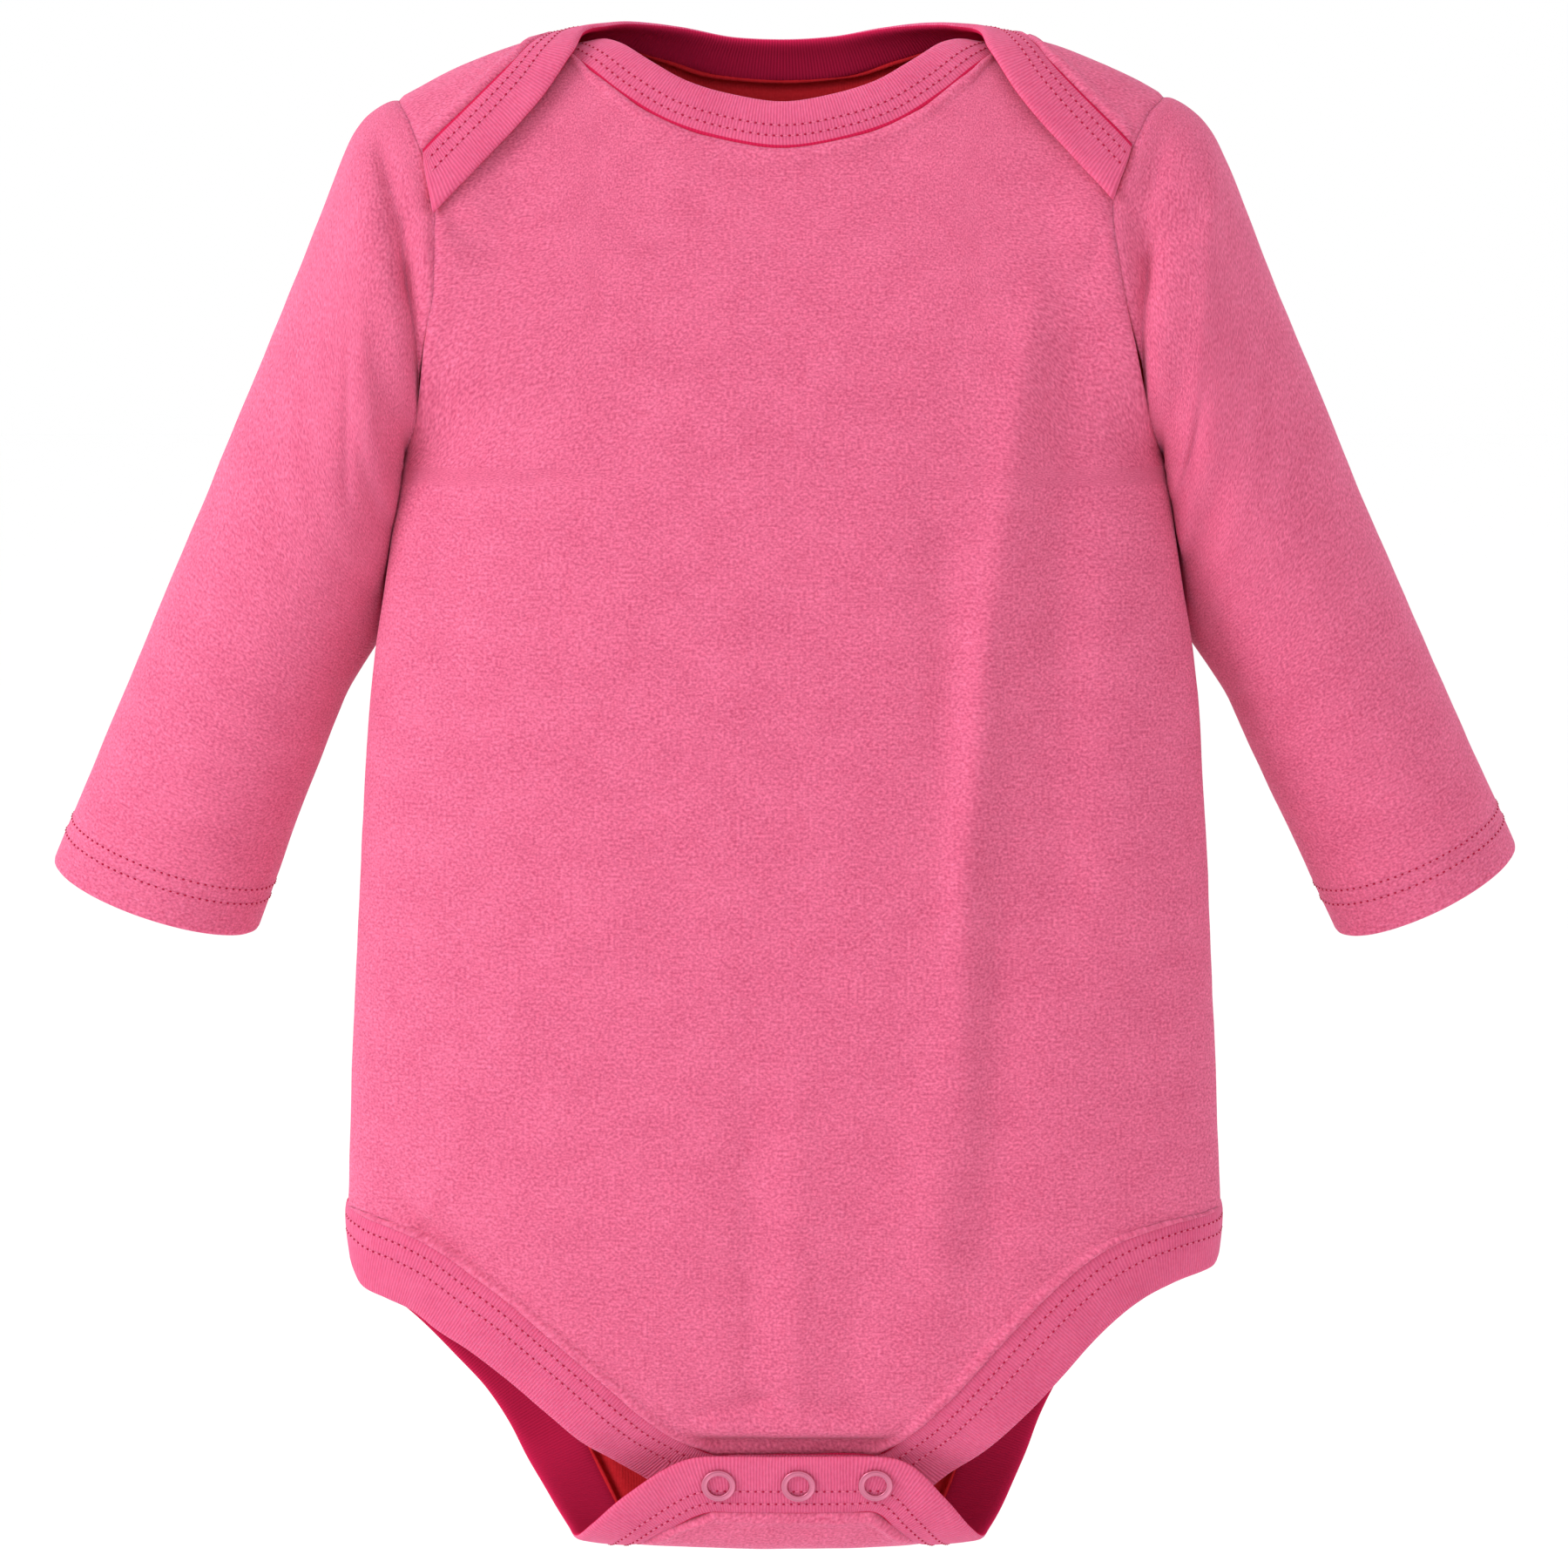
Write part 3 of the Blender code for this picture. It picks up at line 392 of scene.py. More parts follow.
def lay_cloth(columns, rows, place, measure, relief, outside, closed=False):
    """A grid of cloth: points placed by column and row, then moved along their outward normals."""
    cloth = bmesh.new()
    marks = cloth.loops.layers.uv.new("cloth")
    bmesh.ops.create_grid(cloth, x_segments=columns, y_segments=rows, size=1.0)
    cells = {}
    for vert in cloth.verts:
        column = round((vert.co.x + 1.0) / 2.0 * columns)
        row = round((vert.co.y + 1.0) / 2.0 * rows)
        cells[vert] = (column, row)
        vert.co = place(column, row)
    for face in cloth.faces:
        for loop in face.loops:
            loop[marks].uv = measure(*cells[loop.vert])
    if closed:
        bmesh.ops.remove_doubles(cloth, verts=cloth.verts, dist=0.00001)
    if outside < 0.0:
        bmesh.ops.reverse_faces(cloth, faces=cloth.faces)
    cloth.normal_update()
    moved = [
        (vert, vert.co + vert.normal * relief(vert.co, *cells[vert])) for vert in cloth.verts
    ]
    for vert, point in moved:
        vert.co = point
    return cloth


def hang_up(name, cloth, materials, node):
    """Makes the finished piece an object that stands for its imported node."""
    mesh = bpy.data.meshes.new(name)
    cloth.to_mesh(mesh)
    cloth.free()
    mesh.shade_smooth()
    for material in materials:
        mesh.materials.append(material)
    obj = bpy.data.objects.new(name, mesh)
    bpy.context.scene.collection.objects.link(obj)
    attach(obj, "root")
    if node:
        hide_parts(node)
    return obj


def thicken(obj, thickness):
    wall = obj.modifiers.new("thickness", "SOLIDIFY")
    wall.thickness = thickness
    wall.offset = 0.0
    # The inner shell takes the second material: on the jersey pieces, the painted inside shade.
    wall.material_offset = 1


def paint_rim_shade(obj):
    """The cut edge, seen only from within, takes the painted inside shade."""
    obj.modifiers["thickness"].material_offset_rim = 1


def unevenness(point):
    """The cloth's broad and fine waviness at a point."""
    broad = noise.noise(point / BROAD_PITCH)
    fine = noise.noise(point / FINE_PITCH + Vector((7.0, 3.0, 5.0)))
    return BROAD_HEIGHT * broad + FINE_HEIGHT * fine


def seam_dip(distance):
    """How deep the cloth dips into a plain seam, by the distance from it."""
    return SEAM_DIP * math.exp(-((distance / SEAM_DIP_WIDTH) ** 2))


def bound_dip(distance):
    """The same beside a binding, where the cloth puffs up over the seam."""
    groove = GROOVE * math.exp(-((distance / GROOVE_WIDTH) ** 2))
    return groove - PUFF * math.exp(-(((distance - PUFF_FROM_SEAM) / PUFF_WIDTH) ** 2))


def pucker(point, distance):
    """The small puckers beside a sewn edge."""
    height = noise.noise(point / PUCKER_PITCH + Vector((1.0, 8.0, 2.0)))
    return PUCKER_HEIGHT * height * math.exp(-distance / PUCKER_REACH)


class Value:
    """A shader value. Sums, differences, products and quotients of values add their Math nodes."""

    def __init__(self, finish, socket):
        self.finish = finish
        self.socket = socket

    def maths(self, operation, first, second):
        return self.finish.node("ShaderNodeMath", {"operation": operation}, {0: first, 1: second})

    def __add__(self, other):
        return self.maths("ADD", self, other)

    __radd__ = __add__

    def __sub__(self, other):
        return self.maths("SUBTRACT", self, other)

    def __rsub__(self, other):
        return self.maths("SUBTRACT", other, self)

    def __mul__(self, other):
        return self.maths("MULTIPLY", self, other)

    __rmul__ = __mul__

    def __truediv__(self, other):
        return self.maths("DIVIDE", self, other)

    def wave(self, pitch):
        """From 0 to 1 and back over each pitch."""
        return self.maths("SINE", self * (2.0 * math.pi / pitch), 0.0) * 0.5 + 0.5


class Finish:
    """A material while its nodes are put together."""

    def __init__(self, name, constants):
        self.material = bpy.data.materials.new(name)
        self.material.use_nodes = True
        self.nodes = self.material.node_tree.nodes
        self.links = self.material.node_tree.links
        self.shader = self.nodes["Principled BSDF"]
        for socket_name, value in constants.items():
            self.shader.inputs[socket_name].default_value = value

    def fill(self, socket, value):
        if isinstance(value, Value):
            self.links.new(value.socket, socket)
        else:
            socket.default_value = value

    def node(self, kind, settings, sockets, output=0):
        made = self.nodes.new(kind)
        for setting, value in settings.items():
            setattr(made, setting, value)
        for key, value in sockets.items():
            self.fill(made.inputs[key], value)
        return Value(self, made.outputs[output])

    def along_and_across(self):
        """The two lengths, in metres, that the piece's own map gives."""
        cloth_map = self.node("ShaderNodeUVMap", {"uv_map": "cloth"}, {})
        parts = self.nodes.new("ShaderNodeSeparateXYZ")
        self.links.new(cloth_map.socket, parts.inputs[0])
        return Value(self, parts.outputs[0]), Value(self, parts.outputs[1])

    def noise(self, x, y, x_pitch, y_pitch, detail):
        """Noise from 0 to 1 with a size of its own along and across."""
        sockets = {0: x / x_pitch, 1: y / y_pitch}
        place = self.node("ShaderNodeCombineXYZ", {}, sockets)
        return self.node("ShaderNodeTexNoise", {}, {"Vector": place, "Scale": 1.0, "Detail": detail})

    def blend(self, factor, low, high):
        """A colour between two."""
        sockets = {"Factor": factor, 6: (*low, 1.0), 7: (*high, 1.0)}
        return self.node("ShaderNodeMix", {"data_type": "RGBA"}, sockets, output=2)

    def colour(self, value):
        self.fill(self.shader.inputs["Base Color"], value)

    def bump(self, height_mm, strength):
        """Relief given in millimetres."""
        sockets = {"Strength": strength, "Distance": 0.001, "Height": height_mm}
        self.fill(self.shader.inputs["Normal"], self.node("ShaderNodeBump", {}, sockets))


def neck_turn(neck, across):
    """The turn at which a panel's neck edge lies, level across the middle."""
    near, far = neck[0], neck[1]
    share = abs(across) / far.across
    if share >= 1.0:
        return value_at(neck, abs(across))
    rise = far.turn - near.turn
    leaving = slope(near.turn, far.turn, neck[2].turn)
    square = share * share
    return near.turn + rise * square * (3.0 - 2.0 * share) + leaving * square * (share - 1.0)


# Single jersey: wales up the cloth, courses across it, and a heather of specks and short level streaks.
JERSEY_DEEP = (0.480, 0.066, 0.145)
JERSEY_PALE = (0.790, 0.172, 0.305)
WALE, COURSE = 0.00078, 0.00062
COTTON = {
    "Roughness": 0.90,
    "Specular IOR Level": 0.12,
    "Sheen Weight": 0.08,
    "Sheen Roughness": 0.5,
    "Sheen Tint": (1.0, 0.60, 0.72, 1.0),
    "Subsurface Weight": 0.35,
    "Subsurface Scale": 0.0030,
    "Subsurface Radius": (1.0, 0.20, 0.30),
}
jersey = Finish("jersey", COTTON)
across_cloth, up_cloth = jersey.along_and_across()
streaks = jersey.noise(across_cloth, up_cloth, 0.0030, 0.00090, 1.0)
specks = jersey.noise(across_cloth, up_cloth, 0.00085, 0.00070, 1.0)
patches = jersey.noise(across_cloth, up_cloth, 0.0150, 0.0120, 2.0)
heather = streaks * 0.5 + specks * 1.8 + patches * 0.4 - 0.85
jersey.colour(jersey.blend(heather, JERSEY_DEEP, JERSEY_PALE))
knit = across_cloth.wave(WALE) * up_cloth.wave(COURSE) * 0.05
jersey.bump(knit + specks * 0.14 + streaks * 0.07, 0.8)

# The cloth's reverse, painted a deep red as shade: it stands for the dim light bounced off red cloth
# inside the garment, not for the cloth's own pink.
INSIDE_SHADE_DEEP = (0.500, 0.012, 0.020)
INSIDE_SHADE_PALE = (0.660, 0.028, 0.040)
inside = Finish("cloth_inside_painted_shade", {"Roughness": 0.95, "Specular IOR Level": 0.0})
across_inside, up_inside = inside.along_and_across()
loops = inside.noise(across_inside, up_inside, 0.0010, 0.0010, 2.0)
inside.colour(inside.blend(loops, INSIDE_SHADE_DEEP, INSIDE_SHADE_PALE))
inside.bump(across_inside.wave(WALE) * 0.05 + loops * 0.10, 0.7)

FRONT_COLUMNS, FRONT_WALL_STEPS, FRONT_ARCH_STEPS = 132, 6, 84
SIDE_CROWDING = 0.25


def half_spread(share):
    """Columns a little closer together at the sides than in the middle."""
    return share * (1.0 + SIDE_CROWDING - SIDE_CROWDING * share * share)


class Panel:
    """The grid of a body panel: up its wall from its lower end, then round the arch to its neck."""

    def __init__(self, wall, arch, end_row, neck, start_turn, outside, creases):
        self.outside = outside
        self.creases = creases
        self.columns = FRONT_COLUMNS
        self.wall_rows = end_row * FRONT_WALL_STEPS
        self.rows = self.wall_rows + FRONT_ARCH_STEPS
        self.points = []
        self.heights = []
        shares = [2.0 * column / self.columns - 1.0 for column in range(self.columns + 1)]
        ends = [neck_turn(neck, half_spread(share)) for share in shares]
        for row in range(self.rows + 1):
            line = []
            for share, end_turn in zip(shares, ends):
                across = half_spread(share)
                if row < self.wall_rows:
                    line.append(wall(across, end_row - row / FRONT_WALL_STEPS))
                else:
                    round_share = (row - self.wall_rows) / FRONT_ARCH_STEPS
                    line.append(arch(across, start_turn + (end_turn - start_turn) * round_share))
            self.points.append(line)
        self.across_runs = [self.runs(line) for line in self.points]
        self.up_runs = [self.runs(list(line)) for line in zip(*self.points)]

    @staticmethod
    def runs(line):
        """Lengths along a line of points from its first one."""
        total = [0.0]
        for before, after in zip(line, line[1:]):
            total.append(total[-1] + (after - before).length)
        return total

    def place(self, column, row):
        return self.points[row][column]

    def measure(self, column, row):
        """Where the point lies on the flat cloth."""
        run = self.across_runs[row]
        point = self.points[row][column]
        side = run[column] - run[self.columns // 2]
        middle = self.up_runs[self.columns // 2]
        up = middle[row] if row < self.wall_rows else middle[self.wall_rows] + self.rise(point)
        return side, up

    def rise(self, point):
        return point.z - UNDERARM_Z + abs(abs(point.y) - SHOULDER_DEPTH)

    def relief(self, point, column, row):
        run = self.across_runs[row]
        up = self.up_runs[column]
        side = min(run[column], run[-1] - run[column])
        end = min(up[row], up[-1] - up[row])
        facing = smoothstep(-point.y * self.outside, 0.0, FACING_DEPTH) * (point.z > CREASE_END_Z)
        facing *= smoothstep(side, CREASE_START, CREASE_FADE)
        creased = fold_height(self.creases, point.x, point.z) * facing
        on_leg = smoothstep(point.z, *ON_LEG_Z)
        dip = bound_dip(side) * on_leg + seam_dip(side) * (1.0 - on_leg)
        if end < side:
            dip = bound_dip(end)
        dip *= smoothstep(point.z, *PUFF_END_Z)
        return unevenness(point) + pucker(point, min(side, end)) - dip + creased

    def lay(self):
        return lay_cloth(
            self.columns, self.rows, self.place, self.measure, self.relief, self.outside
        )


front = Panel(front_wall, lapped_arch, FRONT_END_ROW, FRONT_NECK, 0.0, 1.0, FRONT_CREASES)
front_cloth = hang_up(
    "front_cloth", front.lay(), (jersey.material, inside.material), "front_panel"
)
thicken(front_cloth, JERSEY)
paint_rim_shade(front_cloth)

# ---------------------------------------------------------------------------------------------
# Back panel. The same jersey in one piece: its two flaps lap over the front's wings at the
# shoulders, and below the seat it narrows, turns forward under the crotch and up in front as the
# snap flap. It is sewn to the front at the sides and to the sleeves at the armholes.

BACK_FOLDS = tuple(Fold(*row) for row in (
    (-0.060, -0.110, -0.052, -0.250, 0.0016, 0.0085),
    (-0.074, -0.120, -0.068, -0.235, -0.0018, 0.0085),
    (0.055, -0.150, 0.048, -0.300, -0.0016, 0.0090),
    (0.040, -0.160, 0.034, -0.310, 0.0012, 0.0085),
    (-0.040, -0.392, 0.036, -0.394, -0.0014, 0.0070),
))
BACK_CREASES = tuple(Fold(*row) for row in (
    (0.078, -0.105, 0.074, -0.180, 0.0010, 0.0070),
    (-0.030, -0.280, -0.012, -0.385, -0.0009, 0.0080),
    (0.012, -0.300, 0.006, -0.380, 0.0008, 0.0070),
    (-0.095, -0.315, -0.060, -0.350, 0.0009, 0.0060),
    (0.098, -0.320, 0.066, -0.352, -0.0009, 0.0060),
    (0.085, -0.250, 0.088, -0.305, -0.0008, 0.0070),
))


def back_wall(across, place):
    row = row_at(BACK_WALL, place)
    return wall_point(BACK_WALL, BACK_FOLDS, row, cut_x(row, across))


back = Panel(back_wall, arch_point, BACK_END_ROW, BACK_NECK, 360.0, -1.0, BACK_CREASES)
back_cloth = hang_up(
    "back_cloth", back.lay(), (jersey.material, inside.material), "back_panel"
)
thicken(back_cloth, JERSEY)
paint_rim_shade(back_cloth)

# ---------------------------------------------------------------------------------------------
# Sleeves. Each is one piece of jersey rolled to a tube, set into the armhole, with the cuff turned
# in once and twin-stitched. They hang beside the body, a little back at the cuffs, and the wearer's
# left cuff lies a little further out.

# Sleeve, one row for each section from the armhole to the cuff: the ends of the section beside the
# body and away from it, its half-depth, how far back its middle lies, how far its front leans down.
SleeveRow = namedtuple("SleeveRow", "near_x near_z far_x far_z depth back lean")
SLEEVE = tuple(SleeveRow(*row) for row in (
    (0.1048, -0.1200, 0.1050, -0.0215, 0.0325, 0.0000, 0.0),
    (0.1064, -0.1207, 0.1086, -0.0228, 0.0322, 0.0000, 0.0),
    (0.1071, -0.1238, 0.1126, -0.0256, 0.0320, 0.0003, 0.0),
    (0.1077, -0.1284, 0.1162, -0.0304, 0.0315, 0.0008, 0.0),
    (0.1084, -0.1336, 0.1198, -0.0378, 0.0308, 0.0015, 0.5),
    (0.1094, -0.1392, 0.1246, -0.0490, 0.0300, 0.0026, 1.5),
    (0.1105, -0.1452, 0.1304, -0.0628, 0.0290, 0.0040, 2.5),
    (0.1119, -0.1514, 0.1376, -0.0796, 0.0280, 0.0060, 4.0),
    (0.1137, -0.1582, 0.1462, -0.0998, 0.0272, 0.0084, 5.5),
    (0.1163, -0.1670, 0.1562, -0.1230, 0.0264, 0.0110, 6.6),
    (0.1203, -0.1790, 0.1662, -0.1462, 0.0258, 0.0138, 7.6),
    (0.1262, -0.1934, 0.1754, -0.1672, 0.0252, 0.0166, 8.6),
    (0.1322, -0.2078, 0.1838, -0.1868, 0.0245, 0.0194, 9.6),
    (0.1380, -0.2220, 0.1916, -0.2048, 0.0236, 0.0222, 10.6),
    (0.1432, -0.2358, 0.1980, -0.2196, 0.0228, 0.0252, 11.4),
    (0.1483, -0.2491, 0.2035, -0.2331, 0.0220, 0.0280, 12.0),
))
ARMHOLE_BLEND = 3.0  # the section turns from the armhole's shape to an oval over these rows

# Each sleeve's own pose: x sign of its side and how far the cuff's ends lie from the rows above.
SleevePose = namedtuple("SleevePose", "name side near_out near_up far_out far_up")
SLEEVE_POSES = (
    SleevePose("sleeve_right", -1.0, 0.0, -0.0018, 0.0010, 0.0010),
    SleevePose("sleeve_left", 1.0, 0.0074, -0.0024, 0.0014, 0.0050),
)
POSE_START_ROW = 8

# Folds of the sleeves: soft ridges or troughs between two places, each a row number of the table
# above and an angle round the sleeve: 0 beside the body, 90 in front, 180 away from it, 270 behind.
SleeveFold = namedtuple("SleeveFold", "side row1 turn1 row2 turn2 height width")
SLEEVE_FOLDS = tuple(SleeveFold(*row) for row in (
    (-1.0, 1.6, 112.0, 1.8, 60.0, -0.0010, 0.9),
    (-1.0, 3.6, 140.0, 4.2, 60.0, 0.0010, 1.1),
    (-1.0, 6.0, 40.0, 9.0, 30.0, -0.0014, 0.9),
    (-1.0, 1.5, 130.0, 1.1, 90.0, -0.0026, 0.34),
    (-1.0, 1.1, 90.0, 0.2, 58.0, -0.0034, 0.34),
    (-1.0, 2.2, 120.0, 1.6, 70.0, 0.0012, 0.60),
    (-1.0, 0.9, 120.0, 0.5, 90.0, 0.0008, 0.30),
    (-1.0, 5.1, 88.0, 6.4, 71.0, -0.0010, 0.30),
    (-1.0, 5.2, 14.0, 5.4, 40.0, -0.0012, 0.70),
    (-1.0, 1.7, 250.0, 1.9, 300.0, -0.0024, 0.9),
    (-1.0, 2.5, 250.0, 6.0, 225.0, -0.0014, 0.8),
    (1.0, 1.5, 112.0, 1.8, 60.0, -0.0010, 0.9),
    (1.0, 2.0, 105.0, 5.0, 130.0, -0.0016, 0.7),
    (1.0, 5.5, 45.0, 8.5, 35.0, -0.0018, 0.9),
    (1.0, 0.95, 125.0, 0.85, 90.0, -0.0024, 0.34),
    (1.0, 0.85, 90.0, 0.1, 60.0, -0.0034, 0.34),
    (1.0, 1.0, 99.0, 2.3, 120.0, -0.0016, 0.30),
    (1.0, 1.8, 95.0, 1.4, 65.0, 0.0012, 0.50),
    (1.0, 4.2, 12.0, 4.2, 45.0, -0.0018, 0.6),
    (1.0, 6.8, 14.0, 6.6, 48.0, -0.0022, 0.7),
    (1.0, 1.7, 250.0, 1.9, 300.0, -0.0024, 0.9),
))
FOLD_TURN_SCALE = 20.0  # degrees round the sleeve that count as one row along it
SLEEVE_COLUMNS = 100
SLEEVE_STEPS = 7  # mesh rows for each row of the table
# The cuff's turned hem: row numbers along the sleeve and how far inside the outer layer it lies.
CUFF_FOLD = (
    (14.94, 0.0),
    (14.98, 0.00012),
    (15.0, 0.0005),
    (15.0, 0.0013),
    (14.98, 0.00168),
    (14.94, 0.0018),
    (14.60, 0.0018),
    (14.30, 0.0018),
    (14.06, 0.0018),
)


def sleeve_fold_height(side, row, turn):
    total = 0.0
    for fold in SLEEVE_FOLDS:
        if fold.side != side:
            continue
        run = fold.row2 - fold.row1
        rise = (fold.turn2 - fold.turn1) / FOLD_TURN_SCALE
        length = math.hypot(run, rise)
        from_row = row - fold.row1
        from_turn = (turn - fold.turn1) / FOLD_TURN_SCALE
        along = (from_row * run + from_turn * rise) / length
        aside = (from_row * rise - from_turn * run) / length
        past_end = max(-along, along - length, 0.0)
        distance = math.hypot(aside, 0.5 * past_end) / fold.width
        total += fold.height * math.exp(-distance * distance)
    return total


@functools.cache
def armhole_swell(side, turn):
    """How far the armhole seam lies from the straight line between its lowest and highest points."""
    edge = arch_point(side, turn)
    sink = EDGE_LAP * smoothstep(turn, *EDGE_LAP_TURN) * (1.0 - smoothstep(turn, *FLAP_TIP_TURN))
    edge -= sink * normal_at(arch_point, side, min(max(turn, 2.0), 358.0), 1.0)
    edge.x = abs(edge.x)
    lowest = Vector((SLEEVE[0].near_x, 0.0, SLEEVE[0].near_z))
    highest = Vector((SLEEVE[0].far_x, 0.0, SLEEVE[0].far_z))
    return edge - lowest.lerp(highest, math.sin(math.radians(turn) / 2.0) ** 2)


def sleeve_point(pose, turn, place, inset=0.0):
    """A point of a sleeve, turn degrees round the section at a row number of the table."""
    row = row_at(SLEEVE, place)
    own = max((place - POSE_START_ROW) / (len(SLEEVE) - 1 - POSE_START_ROW), 0.0) ** 1.6
    near = Vector((row.near_x + own * pose.near_out, row.back, row.near_z + own * pose.near_up))
    far = Vector((row.far_x + own * pose.far_out, row.back, row.far_z + own * pose.far_up))
    angle = math.radians(turn)
    lean = math.radians(row.lean)
    front = Vector((0.0, -math.cos(lean), -math.sin(lean)))
    swell = front * (row.depth * math.sin(angle))
    swell = swell.lerp(armhole_swell(pose.side, turn), 1.0 - smoothstep(place, 0.0, ARMHOLE_BLEND))
    point = near.lerp(far, math.sin(angle / 2.0) ** 2) + swell
    outward = (point - near.lerp(far, 0.5)).normalized()
    point += outward * (sleeve_fold_height(pose.side, place, turn) - inset)
    return Vector((point.x * pose.side, point.y, point.z))


# Below the armhole the sleeve lies against the body, and tucks in a little behind its side.
HUG_ROWS = (0.2, 2.0, 8.8, 10.5)
HUG_PULL = 0.0055
HUG_TURN = 335.0
CLOTH_CLEARANCE = 0.0003


def wall_place(rows, z):
    """The fractional row of a body wall at a height."""
    for number in range(len(rows) - 1):
        upper, lower = rows[number].z, rows[number + 1].z
        if z >= lower:
            return number + min(max((upper - z) / (upper - lower), 0.0), 1.0)
    return float(len(rows) - 1)


def hug_body(place, turn, point):
    """Draws the side of a sleeve beside the body in against it, without going into it."""
    start, full, easing, end = HUG_ROWS
    pull = smoothstep(place, start, full) * (1.0 - smoothstep(place, easing, end))
    beside = 0.5 + 0.5 * math.cos(math.radians(turn - HUG_TURN))
    x = abs(point.x) - HUG_PULL * pull * beside**4
    wall = FRONT_WALL if point.y < 0.0 else BACK_WALL
    row = row_at(wall, wall_place(wall, point.z))
    depth = min(abs(point.y / row.y), 1.0)
    side = row.wall_x * (1.0 - depth**SECTION_POWER) ** (1.0 / SECTION_POWER)
    inner = side + JERSEY + CLOTH_CLEARANCE
    if point.z < UNDERARM_Z + 0.004:
        x = max(x, side + (inner - side) * smoothstep(place, 0.0, 0.8))
    return Vector((math.copysign(x, point.x), point.y, point.z))


def make_sleeve(pose, cloth_name):
    places = [(number / SLEEVE_STEPS, 0.0) for number in range((len(SLEEVE) - 1) * SLEEVE_STEPS)]
    places += list(CUFF_FOLD)
    last = len(places) - 1
    points = []
    for place, inset in places:
        turns = [360.0 * column / SLEEVE_COLUMNS for column in range(SLEEVE_COLUMNS)]
        line = [hug_body(place, turn, sleeve_point(pose, turn, place, inset)) for turn in turns]
        points.append(line + [line[0]])
    rounds = [Panel.runs(line)[-1] for line in points]
    lengths = Panel.runs([line[SLEEVE_COLUMNS // 4] for line in points])
    for column in range(SLEEVE_COLUMNS + 1):
        turn = 360.0 * (column % SLEEVE_COLUMNS) / SLEEVE_COLUMNS
        normal = normal_at(arch_point, pose.side, min(max(turn, 2.0), 358.0), 1.0)
        seam = points[0][column].copy()
        for line in points[: 3 * SLEEVE_STEPS]:
            distance = (line[column] - seam).length
            line[column] = line[column] - normal * seam_dip(distance)

    def measure(column, row):
        return (column / SLEEVE_COLUMNS - 0.5) * rounds[row], -lengths[row]

    def relief(point, column, row):
        distance = (point - points[0][column]).length
        settled = smoothstep(last - row, 2, 12)
        return (unevenness(point) + pucker(point, distance)) * settled

    def place(column, row):
        return points[row][column]

    grid = (SLEEVE_COLUMNS, last, place, measure, relief)
    cloth = lay_cloth(*grid, outside=-pose.side, closed=True)
    obj = hang_up(cloth_name, cloth, (jersey.material, inside.material), pose.name)
    thicken(obj, JERSEY)
    return obj


sleeve_cloths = [make_sleeve(pose, pose.name + "_cloth") for pose in SLEEVE_POSES]

# ---------------------------------------------------------------------------------------------
# Leg bindings. A strip of cotton rib folded double and sewn to the panel's lower edge: down one
# leg opening, along the end of the tab or the flap, and up the other leg. The wales run from the
# seam to the fold, and the folded edge draws in a little.

BINDING = 0.0023  # thickness of the folded rib strip
SEAM_LAP = 0.0008  # the strip starts this far over the panel's edge
HEM_WIDTH = 0.0160
# Widths of the leg bindings where they differ from that, at their first stations from each side seam,
# on the wearer's right and left. The front's is eased wider round the legs.
FRONT_HEM_WIDTHS = (
    (0.0160, 0.0168, 0.0190, 0.0198, 0.0193, 0.0187, 0.0178, 0.0171, 0.0169, 0.0172, 0.0182, 0.0190),
    (0.0160, 0.0158, 0.0170, 0.0181, 0.0186, 0.0186, 0.0187, 0.0188, 0.0185, 0.0182, 0.0188, 0.0192),
)
BACK_HEM_WIDTHS = ((0.0160, 0.0146, 0.0118, 0.0118, 0.0150), ())
HEM_CURL = 0.0014
BINDING_GAP = 0.0007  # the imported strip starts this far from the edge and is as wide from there
END_STATIONS = 6
STRIP_CELLS = 6
SEWN_POWER, FOLD_POWER = 3.5, 9.0  # how soon the strip is full thick, from the seam and from the fold
STRIP_STEP = 0.0013  # mesh steps along a strip
# Faces this far round to the back of the strip, or this near its sewn edge, take the binding's painted
# shade: a deep crimson for the shade inside the garment and in the seam's groove.
INNER_FROM, SEWN_SHADE_WIDTH = -0.0005, 0.0012
RIB_DEEP = (0.480, 0.046, 0.125)
RIB_PALE = (0.790, 0.150, 0.290)
RIB_PITCH = 0.00085
# The strip's section: shares of its width, closer at the folded and the sewn edge.
SECTION_SHARES = (0.0, 0.008, 0.03, 0.08, 0.17, 0.28, 0.4, 0.52, 0.64, 0.76, 0.87, 0.94, 0.98, 0.995, 1.0)


def front_round(share, place):
    """The front's wall again, by share of the quarter turn from its centre line to its side."""
    row = row_at(FRONT_WALL, place)
    return wall_point(FRONT_WALL, FRONT_FOLDS, row, row.wall_x * math.sin(share * math.pi / 2.0))


def back_round(share, place):
    """The back's wall in the same way."""
    row = row_at(BACK_WALL, place)
    return wall_point(BACK_WALL, BACK_FOLDS, row, row.wall_x * math.sin(share * math.pi / 2.0))


def round_share(row, x):
    """The share of the quarter turn at which a section's point lies x from its middle."""
    return math.asin(x / row.wall_x) * 2.0 / math.pi


def hem_stations(rows, leg_row, end_row):
    """The panel's lower edge from side seam to side seam: down one leg, along the end, up the other."""
    numbers = range(leg_row, end_row + 1)
    right = [(round_share(rows[number], cut_x(rows[number], -1.0)), number) for number in numbers]
    left = [(round_share(rows[number], cut_x(rows[number], 1.0)), number) for number in numbers]
    run = (left[-1][0] - right[-1][0]) / END_STATIONS
    end = [(right[-1][0] + run * step, end_row) for step in range(1, END_STATIONS)]
    return right + end + left[::-1]


def lay_straight(seam, outward, normal, width, share):
    """A point of a leg or crotch binding, its folded edge drawn in a little."""
    return seam + outward * (BINDING_GAP + width * share) - normal * (HEM_CURL * share * share)


